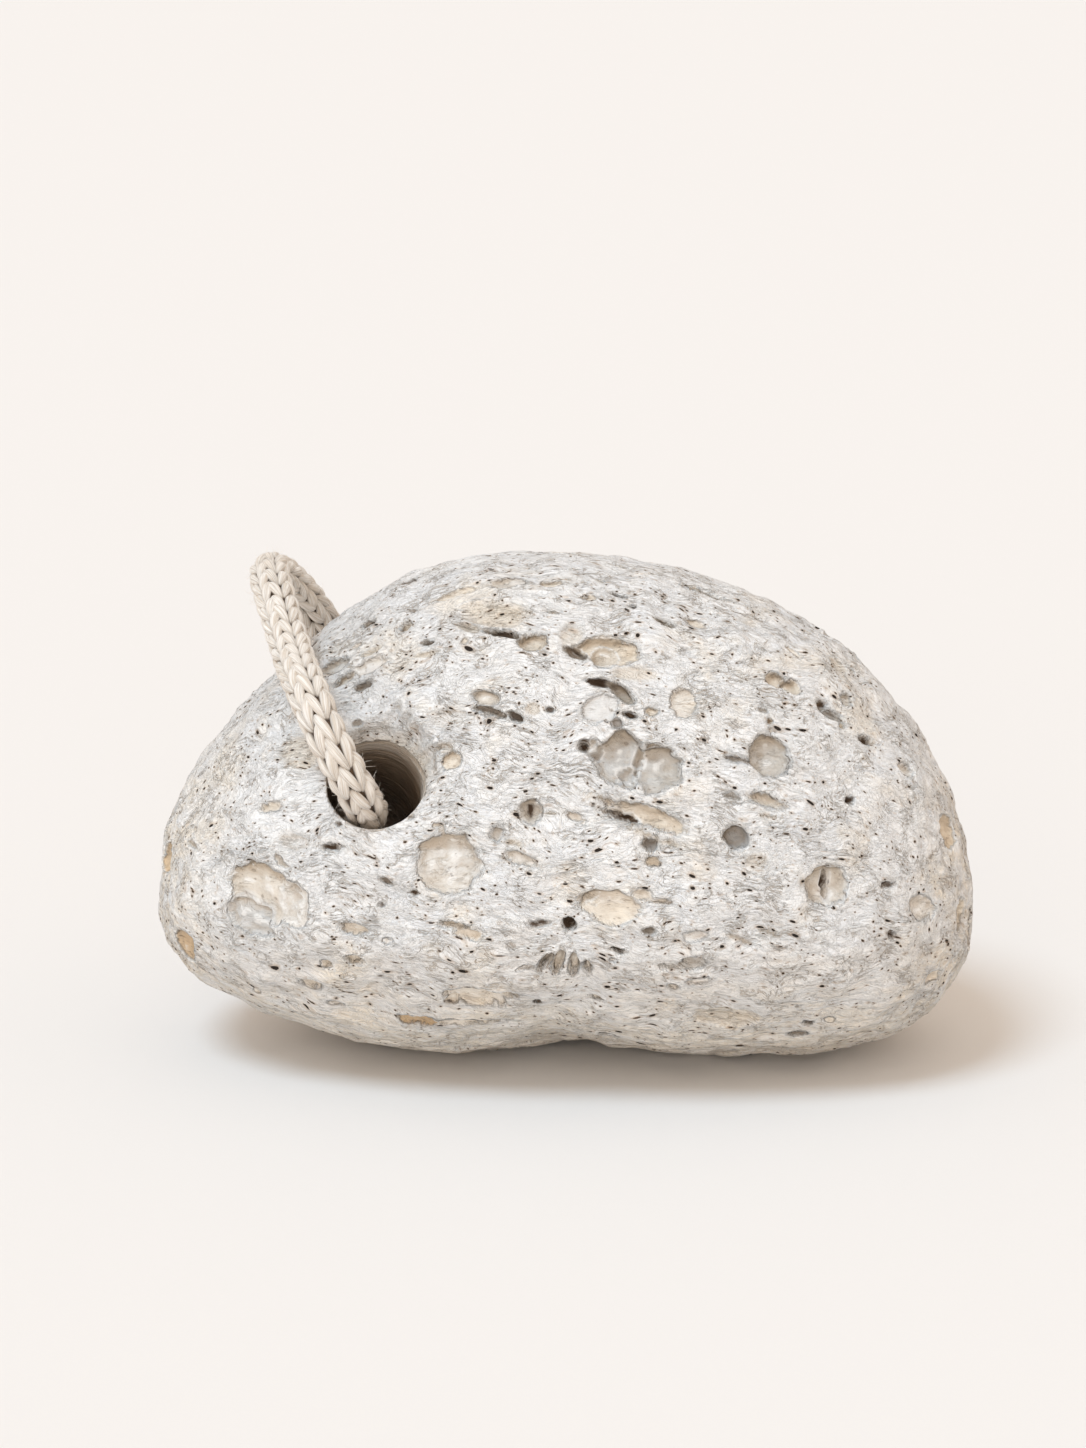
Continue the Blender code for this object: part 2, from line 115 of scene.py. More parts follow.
# The pits of the front, one by one: (right, up) of the middle in the outline's plane, half the
# length along the flow, half the width and the depth in mm, the turn from the flow in degrees,
# how steep the wall is, how far the floor runs in under the upper edge in mm, and then how grey,
# how beige and how dark the floor is, the dark being painted shadow.
FRONT_PITS = (
    # the two-lobed one at the left end, with a broken shelf in it
    (-37.4, -11.0, 5.4, 3.6, 1.3, -12, 5, 0.3, 0.55, 0.55, 0),
    (-39.2, -14.2, 3.4, 2.0, 0.9, -14, 6, 0.2, 0.85, 0, 0.12),
    (-33.6, -12.4, 2.2, 2.8, 0.5, 10, 4, 0.1, 0.45, 0.3, 0),
    # the round one under the hole
    (-14.5, -7.1, 3.9, 3.7, 1.4, 0, 5, 0.3, 0.45, 0.3, 0),
    (-12.8, -6.0, 2.5, 2.7, 0.5, 0, 3, 0.0, 0, 0.35, 0),
    # the grey double one in the middle
    (6.4, 5.5, 2.9, 3.3, 2.1, -8, 6, 0.4, 0.95, 0.05, 0),
    (10.9, 4.4, 3.1, 3.0, 2.3, -10, 6, 0.3, 0.9, 0.1, 0),
    (7.5, 3.2, 1.3, 1.4, 0.9, -40, 5, 0.1, 0.9, 0, 0.12),
    (3.4, 6.6, 0.9, 1.4, 0.9, 20, 4, 0.1, 0.8, 0, 0.1),
    # the round one to the right, with a slit that leads to it
    (24.3, 6.0, 2.8, 2.7, 2.1, -15, 7, 0.4, 0.75, 0.25, 0),
    (20.6, 5.5, 1.9, 0.45, 1.0, -6, 4, 0.3, 0.3, 0.3, 0.35),
    # the one with a cleft
    (31.0, -9.7, 2.7, 2.5, 1.7, 0, 6, 0.3, 0.6, 0.35, 0),
    (31.2, -9.6, 0.5, 2.1, 1.8, 8, 4, 0.0, 0.3, 0.1, 0.75),
    (28.4, -9.0, 1.2, 0.6, 0.5, 25, 3, 0.1, 0.1, 0.5, 0.1),
    # the small dark ones
    (20.2, -3.8, 1.5, 1.6, 1.7, 15, 7, 0.3, 0.95, 0, 0.35),
    (2.1, 7.2, 0.75, 0.7, 1.5, 0, 5, 0.1, 0, 0.4, 0.95),
    (0.3, -13.9, 0.85, 0.8, 1.9, -10, 6, 0.1, 0.2, 0.4, 0.85),
    # the beige hollows of the brow, each with a crevice along its lower edge
    (5.2, 18.7, 4.0, 2.1, 1.5, 4, 4, 0.3, 0.25, 0.85, 0),
    (4.6, 17.9, 1.7, 1.5, 0.8, 10, 4, 0.1, 0.5, 0.6, 0.1),
    (1.3, 18.3, 1.6, 0.8, 1.4, -14, 4, 0.2, 0.2, 0.7, 0.55),
    (0.6, 20.3, 1.7, 1.5, 0.5, -40, 3, 0.0, 0, 0.55, 0),
    (-8.6, 23.3, 4.8, 2.2, 0.8, -8, 3, 0.2, 0.05, 0.75, 0),
    (-7.9, 20.9, 2.6, 0.6, 1.8, -12, 4, 0.5, 0.2, 0.4, 0.65),
    (-11.9, 21.6, 1.9, 0.7, 1.0, -16, 3, 0.3, 0.2, 0.6, 0.2),
    (-4.2, 19.8, 1.9, 1.3, 1.5, 6, 5, 0.2, 0.45, 0.65, 0.25),
    (-7.0, 27.3, 2.4, 1.2, 0.6, 10, 4, 0.2, 0.45, 0.3, 0),
    (-13.6, 26.2, 3.0, 0.8, 0.5, 4, 4, 0.2, 0.15, 0.6, 0.05),
    (-1.8, 27.2, 1.6, 0.9, 0.6, -10, 4, 0.1, 0.15, 0.6, 0.05),
    # slits and overhangs under them
    (4.3, 14.5, 1.9, 0.5, 1.3, -4, 4, 0.5, 0.3, 0.1, 0.8),
    (6.8, 13.4, 1.9, 0.9, 1.5, -30, 5, 0.3, 0.3, 0.7, 0.35),
    (3.8, 11.6, 2.3, 1.7, 0.4, 30, 4, 0.0, 0.45, 0, 0),
    (8.3, 16.0, 3.0, 0.9, 0.4, 10, 3, 0.0, 0, 0.6, 0),
    (-9.3, 11.3, 2.4, 0.55, 1.3, -14, 4, 0.5, 0.2, 0.55, 0.5),
    (-6.3, 10.6, 1.3, 0.5, 1.2, -24, 4, 0.4, 0.2, 0.4, 0.6),
    (-9.9, 13.1, 1.9, 1.0, 0.9, -8, 6, 0.2, 0.35, 0.5, 0.05),
    (-4.0, 11.6, 1.1, 1.0, 0.5, 0, 3, 0.1, 0.1, 0.6, 0.05),
    (7.7, 10.9, 1.1, 0.45, 1.1, -6, 4, 0.2, 0.3, 0.1, 0.85),
    (6.1, 9.9, 0.7, 0.6, 0.6, 0, 4, 0.1, 0.6, 0, 0.35),
    (10.3, 11.3, 0.9, 0.6, 0.6, 0, 4, 0.1, 0.1, 0.8, 0.25),
    (14.2, 12.5, 1.8, 2.0, 0.5, 0, 4, 0.0, 0.15, 0.4, 0),
    (-15.1, 10.7, 2.7, 1.2, 0.6, 10, 3, 0.2, 0.1, 0.25, 0),
    (-14.3, 5.6, 1.3, 1.2, 1.0, 10, 4, 0.2, 0.1, 0.8, 0.3),
    (-15.2, 7.2, 1.3, 0.7, 0.5, -10, 3, 0.1, 0, 0.6, 0.05),
    # the curl and its tail, and the long gash beside them
    (-4.3, -0.7, 1.6, 1.5, 1.5, 0, 6, 0.2, 0.65, 0.25, 0.1),
    (-4.4, -0.5, 0.5, 1.1, 0.9, 10, 4, 0.0, 0.2, 0.3, 0.75),
    (-2.2, -0.9, 1.5, 0.4, 0.7, 4, 3, 0.1, 0.15, 0.65, 0.35),
    (1.0, -1.4, 1.5, 0.7, 0.6, -16, 4, 0.1, 0.3, 0.55, 0.1),
    (9.0, -1.2, 6.0, 1.3, 1.1, -10, 4, 0.2, 0.1, 0.75, 0.05),
    (6.2, -1.3, 3.6, 0.45, 1.5, -14, 4, 0.3, 0.1, 0.3, 0.9),
    (9.6, -3.6, 3.4, 0.6, 0.6, -20, 3, 0.2, 0.2, 0.7, 0.1),
    (9.9, -4.7, 1.1, 0.75, 1.1, -12, 4, 0.2, 0.6, 0.1, 0.5),
    (12.6, -4.6, 1.2, 0.5, 0.8, -12, 3, 0.1, 0.1, 0.7, 0.4),
    (10.2, -6.7, 1.3, 0.9, 0.9, 0, 5, 0.1, 0.3, 0.85, 0.1),
    (24.0, 0.5, 2.7, 0.8, 1.1, -12, 4, 0.2, 0.35, 0.55, 0.3),
    (19.8, 1.1, 1.1, 0.7, 0.9, -8, 3, 0.2, 0.3, 0.2, 0.55),
    (24.0, -1.3, 1.3, 0.45, 0.8, -8, 3, 0.1, 0.1, 0.6, 0.5),
    (22.6, -6.6, 1.6, 1.2, 0.4, 20, 3, 0.0, 0.2, 0.4, 0),
    # the pits of the upper right
    (25.6, 15.4, 1.4, 1.1, 1.2, -14, 5, 0.2, 0.3, 0.75, 0.2),
    (27.4, 14.6, 1.3, 1.0, 1.2, -14, 5, 0.2, 0.3, 0.75, 0.15),
    (31.2, 12.5, 0.8, 0.6, 1.1, 20, 4, 0.2, 0.3, 0, 0.85),
    (32.4, 11.2, 2.0, 0.7, 1.0, -6, 4, 0.2, 0.7, 0.1, 0.35),
    (34.1, 13.1, 0.9, 1.0, 0.8, -20, 5, 0.1, 0.8, 0.2, 0),
    (33.6, 9.8, 0.6, 0.5, 0.6, 0, 4, 0.1, 0, 0.9, 0.3),
    (24.6, 10.3, 0.5, 0.45, 0.6, 0, 4, 0.1, 0, 1, 0.5),
    (24.7, 9.1, 0.5, 0.4, 0.6, 0, 4, 0.1, 0, 1, 0.5),
    (36.9, 8.0, 1.7, 0.5, 1.0, 14, 4, 0.1, 0.1, 0.1, 1),
    (33.9, 0.8, 0.7, 0.55, 0.9, 40, 4, 0.1, 0.1, 0.2, 1),
    (38.8, -9.5, 1.3, 0.4, 0.9, 10, 4, 0.1, 0.2, 0.1, 0.95),
    (39.3, -15.5, 0.9, 0.4, 0.8, -20, 4, 0.1, 0.1, 0.2, 0.9),
    (33.6, 17.4, 1.5, 1.3, 0.4, -30, 3, 0.0, 0.1, 0.6, 0.05),
    # the shoulder
    (-24.9, 22.9, 1.3, 0.75, 1.2, -8, 5, 0.3, 0.4, 0.55, 0.35),
    (-20.1, 22.4, 1.2, 0.7, 1.2, 4, 6, 0.2, 0.4, 0.6, 0.15),
    (-19.2, 28.4, 1.3, 0.45, 0.8, 4, 4, 0.2, 0.2, 0.2, 0.6),
    (-17.1, 20.2, 1.0, 0.35, 0.8, 0, 4, 0.2, 0.1, 0.5, 0.7),
    (-17.6, 18.9, 1.9, 0.4, 0.6, 4, 3, 0.2, 0.1, 0.6, 0.4),
    (-29.5, 17.9, 2.2, 1.0, 0.9, 0, 5, 0.2, 0.7, 0.2, 0.15),
    (-28.4, 16.2, 2.0, 0.9, 1.0, 14, 5, 0.3, 0.5, 0.5, 0.15),
    (-26.0, 15.2, 1.3, 0.6, 1.1, 10, 5, 0.2, 0.5, 0.3, 0.4),
    (-24.8, 19.6, 1.7, 0.5, 0.6, 14, 3, 0.1, 0.2, 0.55, 0.2),
    (-25.0, 17.7, 2.6, 1.2, 0.5, 10, 4, 0.0, 0.25, 0.2, 0),
    (-33.8, 6.6, 3.0, 2.4, 0.8, -30, 3, 0.0, 0.1, 0.65, 0),
    (-30.9, 5.6, 0.8, 1.7, 0.6, 20, 3, 0.0, 0.3, 0.6, 0.1),
    # the top edge
    (17.6, 26.9, 4.6, 0.8, 0.9, -14, 4, 0.2, 0.25, 0.65, 0.05),
    (15.0, 27.3, 1.2, 0.6, 0.9, -14, 4, 0.2, 0.2, 0.7, 0.35),
    (6.3, 26.0, 1.2, 0.45, 1.1, -8, 4, 0.2, 0.2, 0.2, 0.95),
    (8.1, 24.4, 0.55, 0.5, 0.8, 0, 4, 0.1, 0.2, 0.1, 0.75),
    (12.1, 22.4, 1.4, 0.45, 0.8, -12, 4, 0.2, 0.2, 0.6, 0.45),
    (15.7, 22.6, 1.3, 0.6, 0.6, -14, 4, 0.1, 0.2, 0.6, 0.2),
    (2.8, 25.4, 0.9, 0.6, 0.5, 0, 4, 0.1, 0.1, 0.7, 0.05),
    (-1.5, 23.2, 1.2, 0.4, 0.6, -8, 4, 0.1, 0.2, 0.6, 0.2),
    # the lower half
    (5.1, -11.9, 3.6, 2.3, 0.9, -4, 4, 0.3, 0.2, 0.6, 0),
    (2.5, -10.7, 1.5, 0.7, 0.7, 30, 3, 0.1, 0.2, 0.55, 0.15),
    (8.9, -10.5, 1.5, 0.8, 0.5, -10, 4, 0.1, 0.25, 0.5, 0),
    (11.4, -11.3, 1.3, 0.5, 0.5, 0, 4, 0.1, 0.2, 0.5, 0.1),
    (9.7, -14.7, 0.8, 0.45, 0.9, 10, 5, 0.1, 0.3, 0.5, 0.45),
    (-5.2, -6.6, 2.4, 0.8, 0.7, -10, 4, 0.2, 0.35, 0.35, 0.05),
    (-8.5, -3.6, 0.9, 1.1, 0.9, 0, 7, 0.1, 0.6, 0.2, 0),
    (-6.4, -4.5, 1.3, 0.4, 0.5, -10, 3, 0.1, 0.1, 0.7, 0.15),
    (-15.6, -2.8, 1.4, 0.45, 0.7, -6, 4, 0.2, 0.15, 0.55, 0.3),
    (-22.1, -9.2, 1.0, 0.4, 0.8, -20, 4, 0.1, 0.2, 0.6, 0.5),
    (-29.3, -5.2, 1.6, 0.45, 1.0, 4, 4, 0.1, 0.1, 0.1, 0.95),
    (-33.9, -4.6, 2.3, 1.3, 0.6, 0, 3, 0.1, 0.55, 0.2, 0.05),
    (-26.0, -15.3, 1.9, 0.8, 0.8, 6, 4, 0.2, 0.3, 0.65, 0.25),
    (-26.0, -18.8, 1.3, 0.75, 0.9, 0, 5, 0.2, 0.4, 0.6, 0.25),
    (-29.6, -19.6, 0.7, 0.7, 0.7, 0, 5, 0.1, 0.4, 0.6, 0.15),
    (-31.6, -22.2, 1.4, 0.9, 0.8, 14, 5, 0.1, 0.4, 0.6, 0.25),
    (-13.3, -14.6, 2.0, 0.5, 0.8, 0, 4, 0.2, 0.2, 0.6, 0.25),
    (-11.8, -15.5, 1.6, 0.7, 0.6, -4, 5, 0.1, 0.2, 0.6, 0.1),
    # the ribbed one: four finger hollows side by side
    (-2.4, -18.4, 0.6, 1.6, 1.2, -24, 5, 0.2, 0.3, 0.6, 0.35),
    (-0.9, -18.3, 0.65, 2.0, 1.3, -10, 5, 0.3, 0.3, 0.6, 0.25),
    (0.9, -18.5, 0.7, 1.9, 1.2, 6, 5, 0.3, 0.3, 0.6, 0.2),
    (2.5, -18.9, 0.5, 1.6, 0.8, 14, 5, 0.2, 0.2, 0.6, 0.15),
    (14.7, -18.5, 1.5, 0.9, 1.0, 14, 5, 0.2, 0.7, 0.1, 0.1),
    (12.3, -18.9, 1.8, 0.5, 0.5, 2, 4, 0.2, 0.6, 0.1, 0.15),
    (6.0, -16.9, 1.1, 0.4, 0.9, 0, 4, 0.1, 0.2, 0.1, 1),
    (20.3, -15.8, 2.0, 0.4, 0.7, -18, 3, 0.1, 0.2, 0.6, 0.3),
    (24.0, -15.1, 1.9, 0.4, 0.8, -16, 3, 0.1, 0.2, 0.5, 0.55),
    (19.4, -25.6, 4.4, 2.0, 0.8, -6, 3, 0.2, 0.15, 0.6, 0),
    (28.4, -28.3, 1.3, 0.7, 1.0, 0, 5, 0.2, 0.2, 0.7, 0.5),
    (29.8, -26.8, 0.6, 0.4, 0.8, 0, 4, 0.1, 0.1, 0.2, 0.9),
    (-11.1, -23.4, 4.4, 1.5, 1.0, 2, 4, 0.3, 0.15, 0.45, 0),
    (-14.0, -24.2, 1.0, 0.9, 0.8, 0, 4, 0.2, 0.2, 0.6, 0.15),
    (-6.9, -22.9, 1.4, 0.5, 0.7, 0, 4, 0.2, 0.2, 0.6, 0.25),
    (-11.0, -27.0, 4.6, 0.9, 0.7, 4, 4, 0.2, 0.1, 0.45, 0),
    (-18.6, -26.6, 2.4, 1.2, 0.8, 4, 5, 0.1, 0, 1, 0.1),
    (-3.4, -23.6, 0.75, 0.4, 0.9, -30, 4, 0.1, 0.1, 0.2, 0.9),
    (-1.1, -24.0, 0.45, 0.35, 0.8, 0, 4, 0.1, 0.1, 0.2, 0.9),
    # the ends
    (-50.2, -6.6, 1.6, 2.0, 1.0, 0, 5, 0.0, 0, 0.95, 0),
    (-47.9, -17.7, 2.0, 2.6, 0.9, 30, 4, 0.0, 0, 0.95, 0.05),
    (47.4, -3.2, 2.3, 2.3, 0.9, 0, 5, 0.0, 0, 0.9, 0),
    (49.2, -13.6, 1.6, 2.2, 0.9, 0, 5, 0.0, 0.2, 0.7, 0),
    (43.6, -12.4, 2.3, 1.6, 0.6, -10, 4, 0.1, 0.4, 0.3, 0),
)
# The mouth's worn upper edge: (right, up), half length, half width and depth in mm.
MOUTH_WEAR_MM = (-23.2, 5.3, 6.6, 6.9, 2.2)

# The larger pits of the other sides, scattered evenly at a steady pace round the stone.
OTHER_PIT_COUNT = 56
OTHER_PIT_SEED = 12
OTHER_PIT_HALF_MM = (1.5, 4.6)
OTHER_PIT_DEPTH_SHARE = 0.42

# The small open bubbles all over.
BUBBLE_COUNT = 300
BUBBLE_SEED = 31
BUBBLE_HALF_MM = (0.5, 1.8)
FRONT_BUBBLES_LEFT_OUT = 0.65  # the share, since the front has its own pits

# The grain of the rock, as layers of noise: each one's size and height in mm, and its offset.
ROCK_LUMPS = ((8.0, 0.44, 0.0), (3.6, 0.32, 4.0))
ROCK_RIDGES = ((1.7, 0.17, 0.0), (0.95, 0.14, 3.0))
RIDGE_STRETCH = 2.6
RIDGE_BEND_MM = 1.6
CUP_DEPTH_MM = 0.26  # the shallow cups between the walls of burst bubbles
CUP_SIZE_MM = 2.1
CUP_STRETCH = 1.7

# How uneven a pit's edge is, in layers as above but as shares of its size, and how uneven its
# floor is, as a share of its depth.
RAGGED_EDGE = ((2.1, 0.17, 0.0), (0.9, 0.12, 7.3))
UNEVEN_FLOOR = ((1.8, 0.30, 2.1),)
# A pit's low lip: how far out it runs and how wide it is, in shares of the pit's size, its
# height as a share of the half width, and the half width from which it grows no higher.
LIP_AT, LIP_WIDTH, LIP_RISE, LIP_LIMIT = 1.06, 0.16, 0.05, 1.5 * MM
SHADE_DEPTH = 1.4 * MM  # a pit as deep as this has its upper wall in full painted shade

NOISE_SEED = 4
MARK_REACH_MM = 1.5
SOFT_STEEP = 3  # a pit no steeper than this is only a soft stained hollow, with no rim
DARK_ENOUGH = 0.3  # how dark a pit is before its floor is darkened in painted shadow
CREASE_FULL = 0.09 * MM  # how far a point lies below its neighbours' middle in a sharp furrow

# ---------------------------------------------------------------- the hole and the cord
HOLE_RADIUS = 6.0 * MM
MOUTH = Vector((-23.0, -24.9, 41.1)) * MM
HOLE_FALL = math.radians(28.3)
HOLE_TURN = math.radians(6.0)  # towards the left end
HOLE_REACH = 70.0 * MM
HOLE_LEAD = 12.0 * MM
HOLE_RINGS = 110
HOLE_SIDES = 72
# The marks of the drill's turning, in layers as for the rock, and how close they lie along it.
TURNING_MARKS = ((1.1, 0.13, 0.0), (0.6, 0.07, 3.0))
TURNING_PACE = 1.6
BORE_GAP = 0.35 * MM  # how far from the drill's path a point of the wall may be
# The flare that the cord has worn into the mouth's upper edge.
FLARE_WIDTH = 3.0 * MM
FLARE_DEPTH = 6.5 * MM
FLARE_REACH = 12.0 * MM
FLARE_RIGHTWARD = 0.25
FLARE_STAIN, FLARE_STAIN_MOST = 2.4, 0.85

CORD_RADIUS = 2.55 * MM
CORD_ROUTE_MM = (
    (-28.0, -1.8, 27.3), (-26.8, -9.4, 30.8), (-25.4, -16.0, 33.7), (-24.4, -22.3, 36.7),
    (-25.6, -26.8, 40.6), (-27.8, -28.0, 45.3), (-30.2, -25.6, 49.8), (-32.1, -20.4, 52.4),
    (-33.6, -14.2, 53.9), (-35.2, -7.6, 56.5), (-36.9, -0.6, 59.3), (-37.7, 6.2, 60.4),
    (-36.1, 12.6, 58.0), (-33.3, 18.1, 53.2), (-30.9, 23.4, 46.8), (-29.8, 27.9, 39.6),
    (-29.7, 30.5, 31.6), (-30.2, 30.8, 24.2), (-30.6, 28.0, 18.2), (-30.3, 22.1, 15.8),
    (-29.7, 14.6, 18.3), (-28.8, 6.6, 22.7), (-28.1, -1.1, 26.95),
)
PATH_STEP = 0.5 * MM

# The knitting: columns of V stitches round the cord, each V of two legs.
COLUMNS = 5
STITCH_PITCH = 2.85 * MM
LEG_LENGTH = 4.1 * MM
LEG_HALF_WIDTH = 0.69 * MM
LEG_HALF_THICKNESS = 0.62 * MM
LEG_RINGS = 13
LEG_SIDES = 12
KNIT_PROUD = 0.14 * MM
LEG_DIP = 0.95 * MM  # how far a leg's ends lie below its middle
LEG_FOOT_SPREAD = 0.05  # how far a leg starts from its column's middle, in columns
LEG_TIP_SPREAD = 0.47  # and how much further out it ends
ROW_START = 0.3  # how much of a stitch lies before the cord's end
# How uneven the stitches are: their places in rows, lengths, spreads, heights in mm and widths.
SHIFT_UNEVEN, LENGTH_UNEVEN, SPREAD_UNEVEN = 0.05, 0.04, 0.015
HEIGHT_UNEVEN_MM, WIDTH_UNEVEN = 0.02, 0.04
COLUMN_TURN = 7.5  # radians per metre by which the columns wind round the cord
CORE_RADIUS = 1.7 * MM
CORE_STEP = 1.0 * MM
CORE_SIDES = 12
KNIT_SEED = 5
# The cord is darkened with painted shade inside the hole: where that starts, and over what length.
HOLE_SHADE_START, HOLE_SHADE_FADE = -4 * MM, 11 * MM
HAIR_COUNT = 900
HAIR_SEED = 8
HAIR_RINGS, HAIR_SIDES = 5, 3
HAIR_RADIUS_MM = 0.026
HAIR_LENGTH_MM = (0.5, 1.5)
HAIR_ROOT = 0.25 * MM  # how far inside the cord's surface a hair starts

# ---------------------------------------------------------------- the colours, linear
PUMICE_WHITE = (0.845, 0.848, 0.856)
PUMICE_BLUISH = (0.815, 0.832, 0.858)
PUMICE_CHALK = (0.875, 0.876, 0.874)
PUMICE_BEIGE = (0.865, 0.790, 0.685)
PUMICE_TAN = (0.880, 0.790, 0.670)
PUMICE_SHADE = (0.660, 0.600, 0.520)
PUMICE_RIM_AND_PAINTED_HIGHLIGHT = (0.895, 0.887, 0.868)
PUMICE_FURROW = (0.500, 0.400, 0.290)
# The painted shade in pits and creases.
PUMICE_PAINTED_SHADE = (0.470, 0.385, 0.290)
PIT_GREY = (0.490, 0.485, 0.470)
PIT_GREY_LIGHT = (0.530, 0.521, 0.505)
PIT_BEIGE = (0.620, 0.505, 0.365)
PIT_BEIGE_LIGHT = (0.850, 0.755, 0.615)
PIT_OCHRE = (0.560, 0.380, 0.200)
# The painted shadow along a pit's upper edge.
PAINTED_LEDGE_SHADOW = (0.200, 0.150, 0.105)
# The painted shade deep in the hole.
BORE_PAINTED_SHADE = (0.300, 0.185, 0.105)
BORE_COLOUR = (0.760, 0.650, 0.530)
BORE_LIGHT = (0.980, 0.930, 0.860)
SPECK_BLACK = (0.030, 0.022, 0.017)
SPECK_AND_SHADOW_BROWN = (0.080, 0.052, 0.034)
SPECK_STAIN = (0.460, 0.320, 0.200)
PUMICE_ROUGHNESS = 0.92
PUMICE_SPECULAR = 0.25
# Each layer of pinholes and slits: the cell's size in mm, how drawn out it is, the hole's
# greatest radius in cells, how many cells have one, and the depth in mm.
SPECK_LAYERS = (
    (2.6, 1.9, 0.14, 0.45, 0.30),
    (1.1, 4.5, 0.13, 0.90, 0.12),
    (0.95, 2.0, 0.22, 0.50, 0.18),
    (0.55, 1.7, 0.24, 0.50, 0.10),
)
COTTON_LIGHT = (0.930, 0.900, 0.855)
COTTON_SHADE = (0.700, 0.620, 0.530)
COTTON_WARM = (0.820, 0.750, 0.665)
# The painted shade on the cord inside the hole.
COTTON_HOLE_SHADE = (0.400, 0.320, 0.250)
# The painted shade in the gaps of the knit.
COTTON_PAINTED_GAP_SHADE = (0.120, 0.068, 0.035)
FLOOR_COLOUR = (0.805, 0.798, 0.792)
FLOOR_COLOUR_LIGHT = (0.820, 0.812, 0.806)
# The sizes in mm of the pumice's clouds, beige patches, torn places, furrows, ridges and fibres.
CLOUD_MM, PATCH_MM, TORN_MM = 9.0, 11.0, 3.4
FURROW_MM, RIDGE_MM, FIBRE_MM = 1.3, 0.7, 0.62
DRAWN = (0.32, 1.0, 1.0)  # how the rock's grain is drawn out along the flow
# How strongly each of them colours the rock.
SHADE_SHARE, LIGHT_SHARE, WALL_SHARE = 0.14, 0.40, 0.35
FURROW_SHARE, RIDGE_SHARE, STAIN_SHARE = 0.60, 0.50, 0.50
# Their heights in mm in the material's fine relief.
LUMP_HEIGHT, FIBRE_HEIGHT, SAND_HEIGHT = 0.45, 0.33, 0.03
WALL_HEIGHT, FINE_WALL_HEIGHT, FURROW_HEIGHT, RIDGE_HEIGHT = 0.10, 0.06, -0.16, 0.07
PIT_STEP, TURNING_HEIGHT = -0.24, 0.30
STRATA_LOW, STRATA_HIGH = 2.2, 0.3  # near the base, and higher up
# From where to where behind the mouth the drilled hole's wall darkens with painted shade, in mm.
BORE_DARKENS_MM = (1.5, 15.0)

# ---------------------------------------------------------------- the light
WORLD_COLOUR = (1.0, 0.850, 0.720, 1.0)
WORLD_STRENGTH = 0.82
# Each sun: name, strength, how wide it is in degrees, colour and the direction it shines in.
SUNS = (
    ("key", 1.60, 22.0, (0.656, 0.840, 1.0), (0.40, 0.42, -1.0)),
    ("front_fill", 1.02, 50.0, (1.0, 0.965, 0.930), (0.12, 1.0, -0.14)),
)
FLOOR_SIZE = 12.0
FLOOR_DROP = 0.05 * MM

RIGHT = np.array([1.0, 0.0, 0.0])
UP = np.array([0.0, math.sin(VIEW_FALL), math.cos(VIEW_FALL)])
FRONT = np.array([0.0, -math.cos(VIEW_FALL), math.sin(VIEW_FALL)])
FLOW = np.array([math.cos(FLOW_DIP), 0.0, -math.sin(FLOW_DIP)])


def unit(vectors):
    return vectors / np.linalg.norm(vectors, axis=-1, keepdims=True)


def mesh_object(name, points, faces, material=None, smooth=True):
    """A new piece from points in metres and faces as lists of point numbers."""
    mesh = bpy.data.meshes.new(name)
    mesh.from_pydata(points.tolist(), [], faces)
    if material:
        mesh.materials.append(material)
    mesh.polygons.foreach_set("use_smooth", [smooth] * len(mesh.polygons))
    mesh.update()
    piece = bpy.data.objects.new(name, mesh)
    bpy.context.scene.collection.objects.link(piece)
    return piece


def tube_faces(shape, closed=True):
    """The faces of tubes whose points are numbered in this shape: (..., rings, sides)."""
    number = np.arange(math.prod(shape)).reshape(shape)
    turned = np.roll(number, -1, axis=-1)
    corners = (number[..., :-1, :], turned[..., :-1, :], turned[..., 1:, :], number[..., 1:, :])
    faces = np.stack(corners, axis=-1).reshape(-1, 4).tolist()
    if closed:
        faces += number[..., 0, ::-1].reshape(-1, shape[-1]).tolist()
        faces += number[..., -1, :].reshape(-1, shape[-1]).tolist()
    return faces


def set_values(piece, name, values):
    """Keep one number for each point of the mesh, for the material to read."""
    layer = piece.data.attributes.new(name, "FLOAT", "POINT")
    layer.data.foreach_set("value", np.asarray(values, np.float32))


# ---------------------------------------------------------------- the camera and the room


def make_camera():
    camera = bpy.data.objects.new("camera", bpy.data.cameras.new("camera"))
    bpy.context.scene.collection.objects.link(camera)
    camera.data.sensor_width = SENSOR_MM
    camera.data.lens = LENS_MM
    camera.data.clip_start = 0.01
    camera.data.clip_end = 20.0
    camera.location = VIEW_MIDDLE + VIEW_DISTANCE * Vector(FRONT)
    aim = VIEW_MIDDLE - AIM_LEFT * Vector(RIGHT) + AIM_ABOVE * Vector(UP)
    camera.rotation_mode = "QUATERNION"
    camera.rotation_quaternion = (aim - camera.location).to_track_quat("-Z", "Y")
    bpy.context.scene.camera = camera


# ---------------------------------------------------------------- steady noise

NOISE_TABLE = 256
_draw = np.random.default_rng(NOISE_SEED)
NOISE_ORDER = _draw.permutation(NOISE_TABLE)
NOISE_SLOPES = unit(_draw.normal(size=(NOISE_TABLE, 3)))
NOISE_POINTS = _draw.uniform(size=(NOISE_TABLE, 3))


def cell_number(cells):
    """One of NOISE_TABLE numbers for each whole-numbered cell of space."""
    wrapped = cells % NOISE_TABLE
    mixed = NOISE_ORDER[wrapped[..., 0]] + wrapped[..., 1]
    mixed = NOISE_ORDER[mixed % NOISE_TABLE] + wrapped[..., 2]
    return NOISE_ORDER[mixed % NOISE_TABLE]


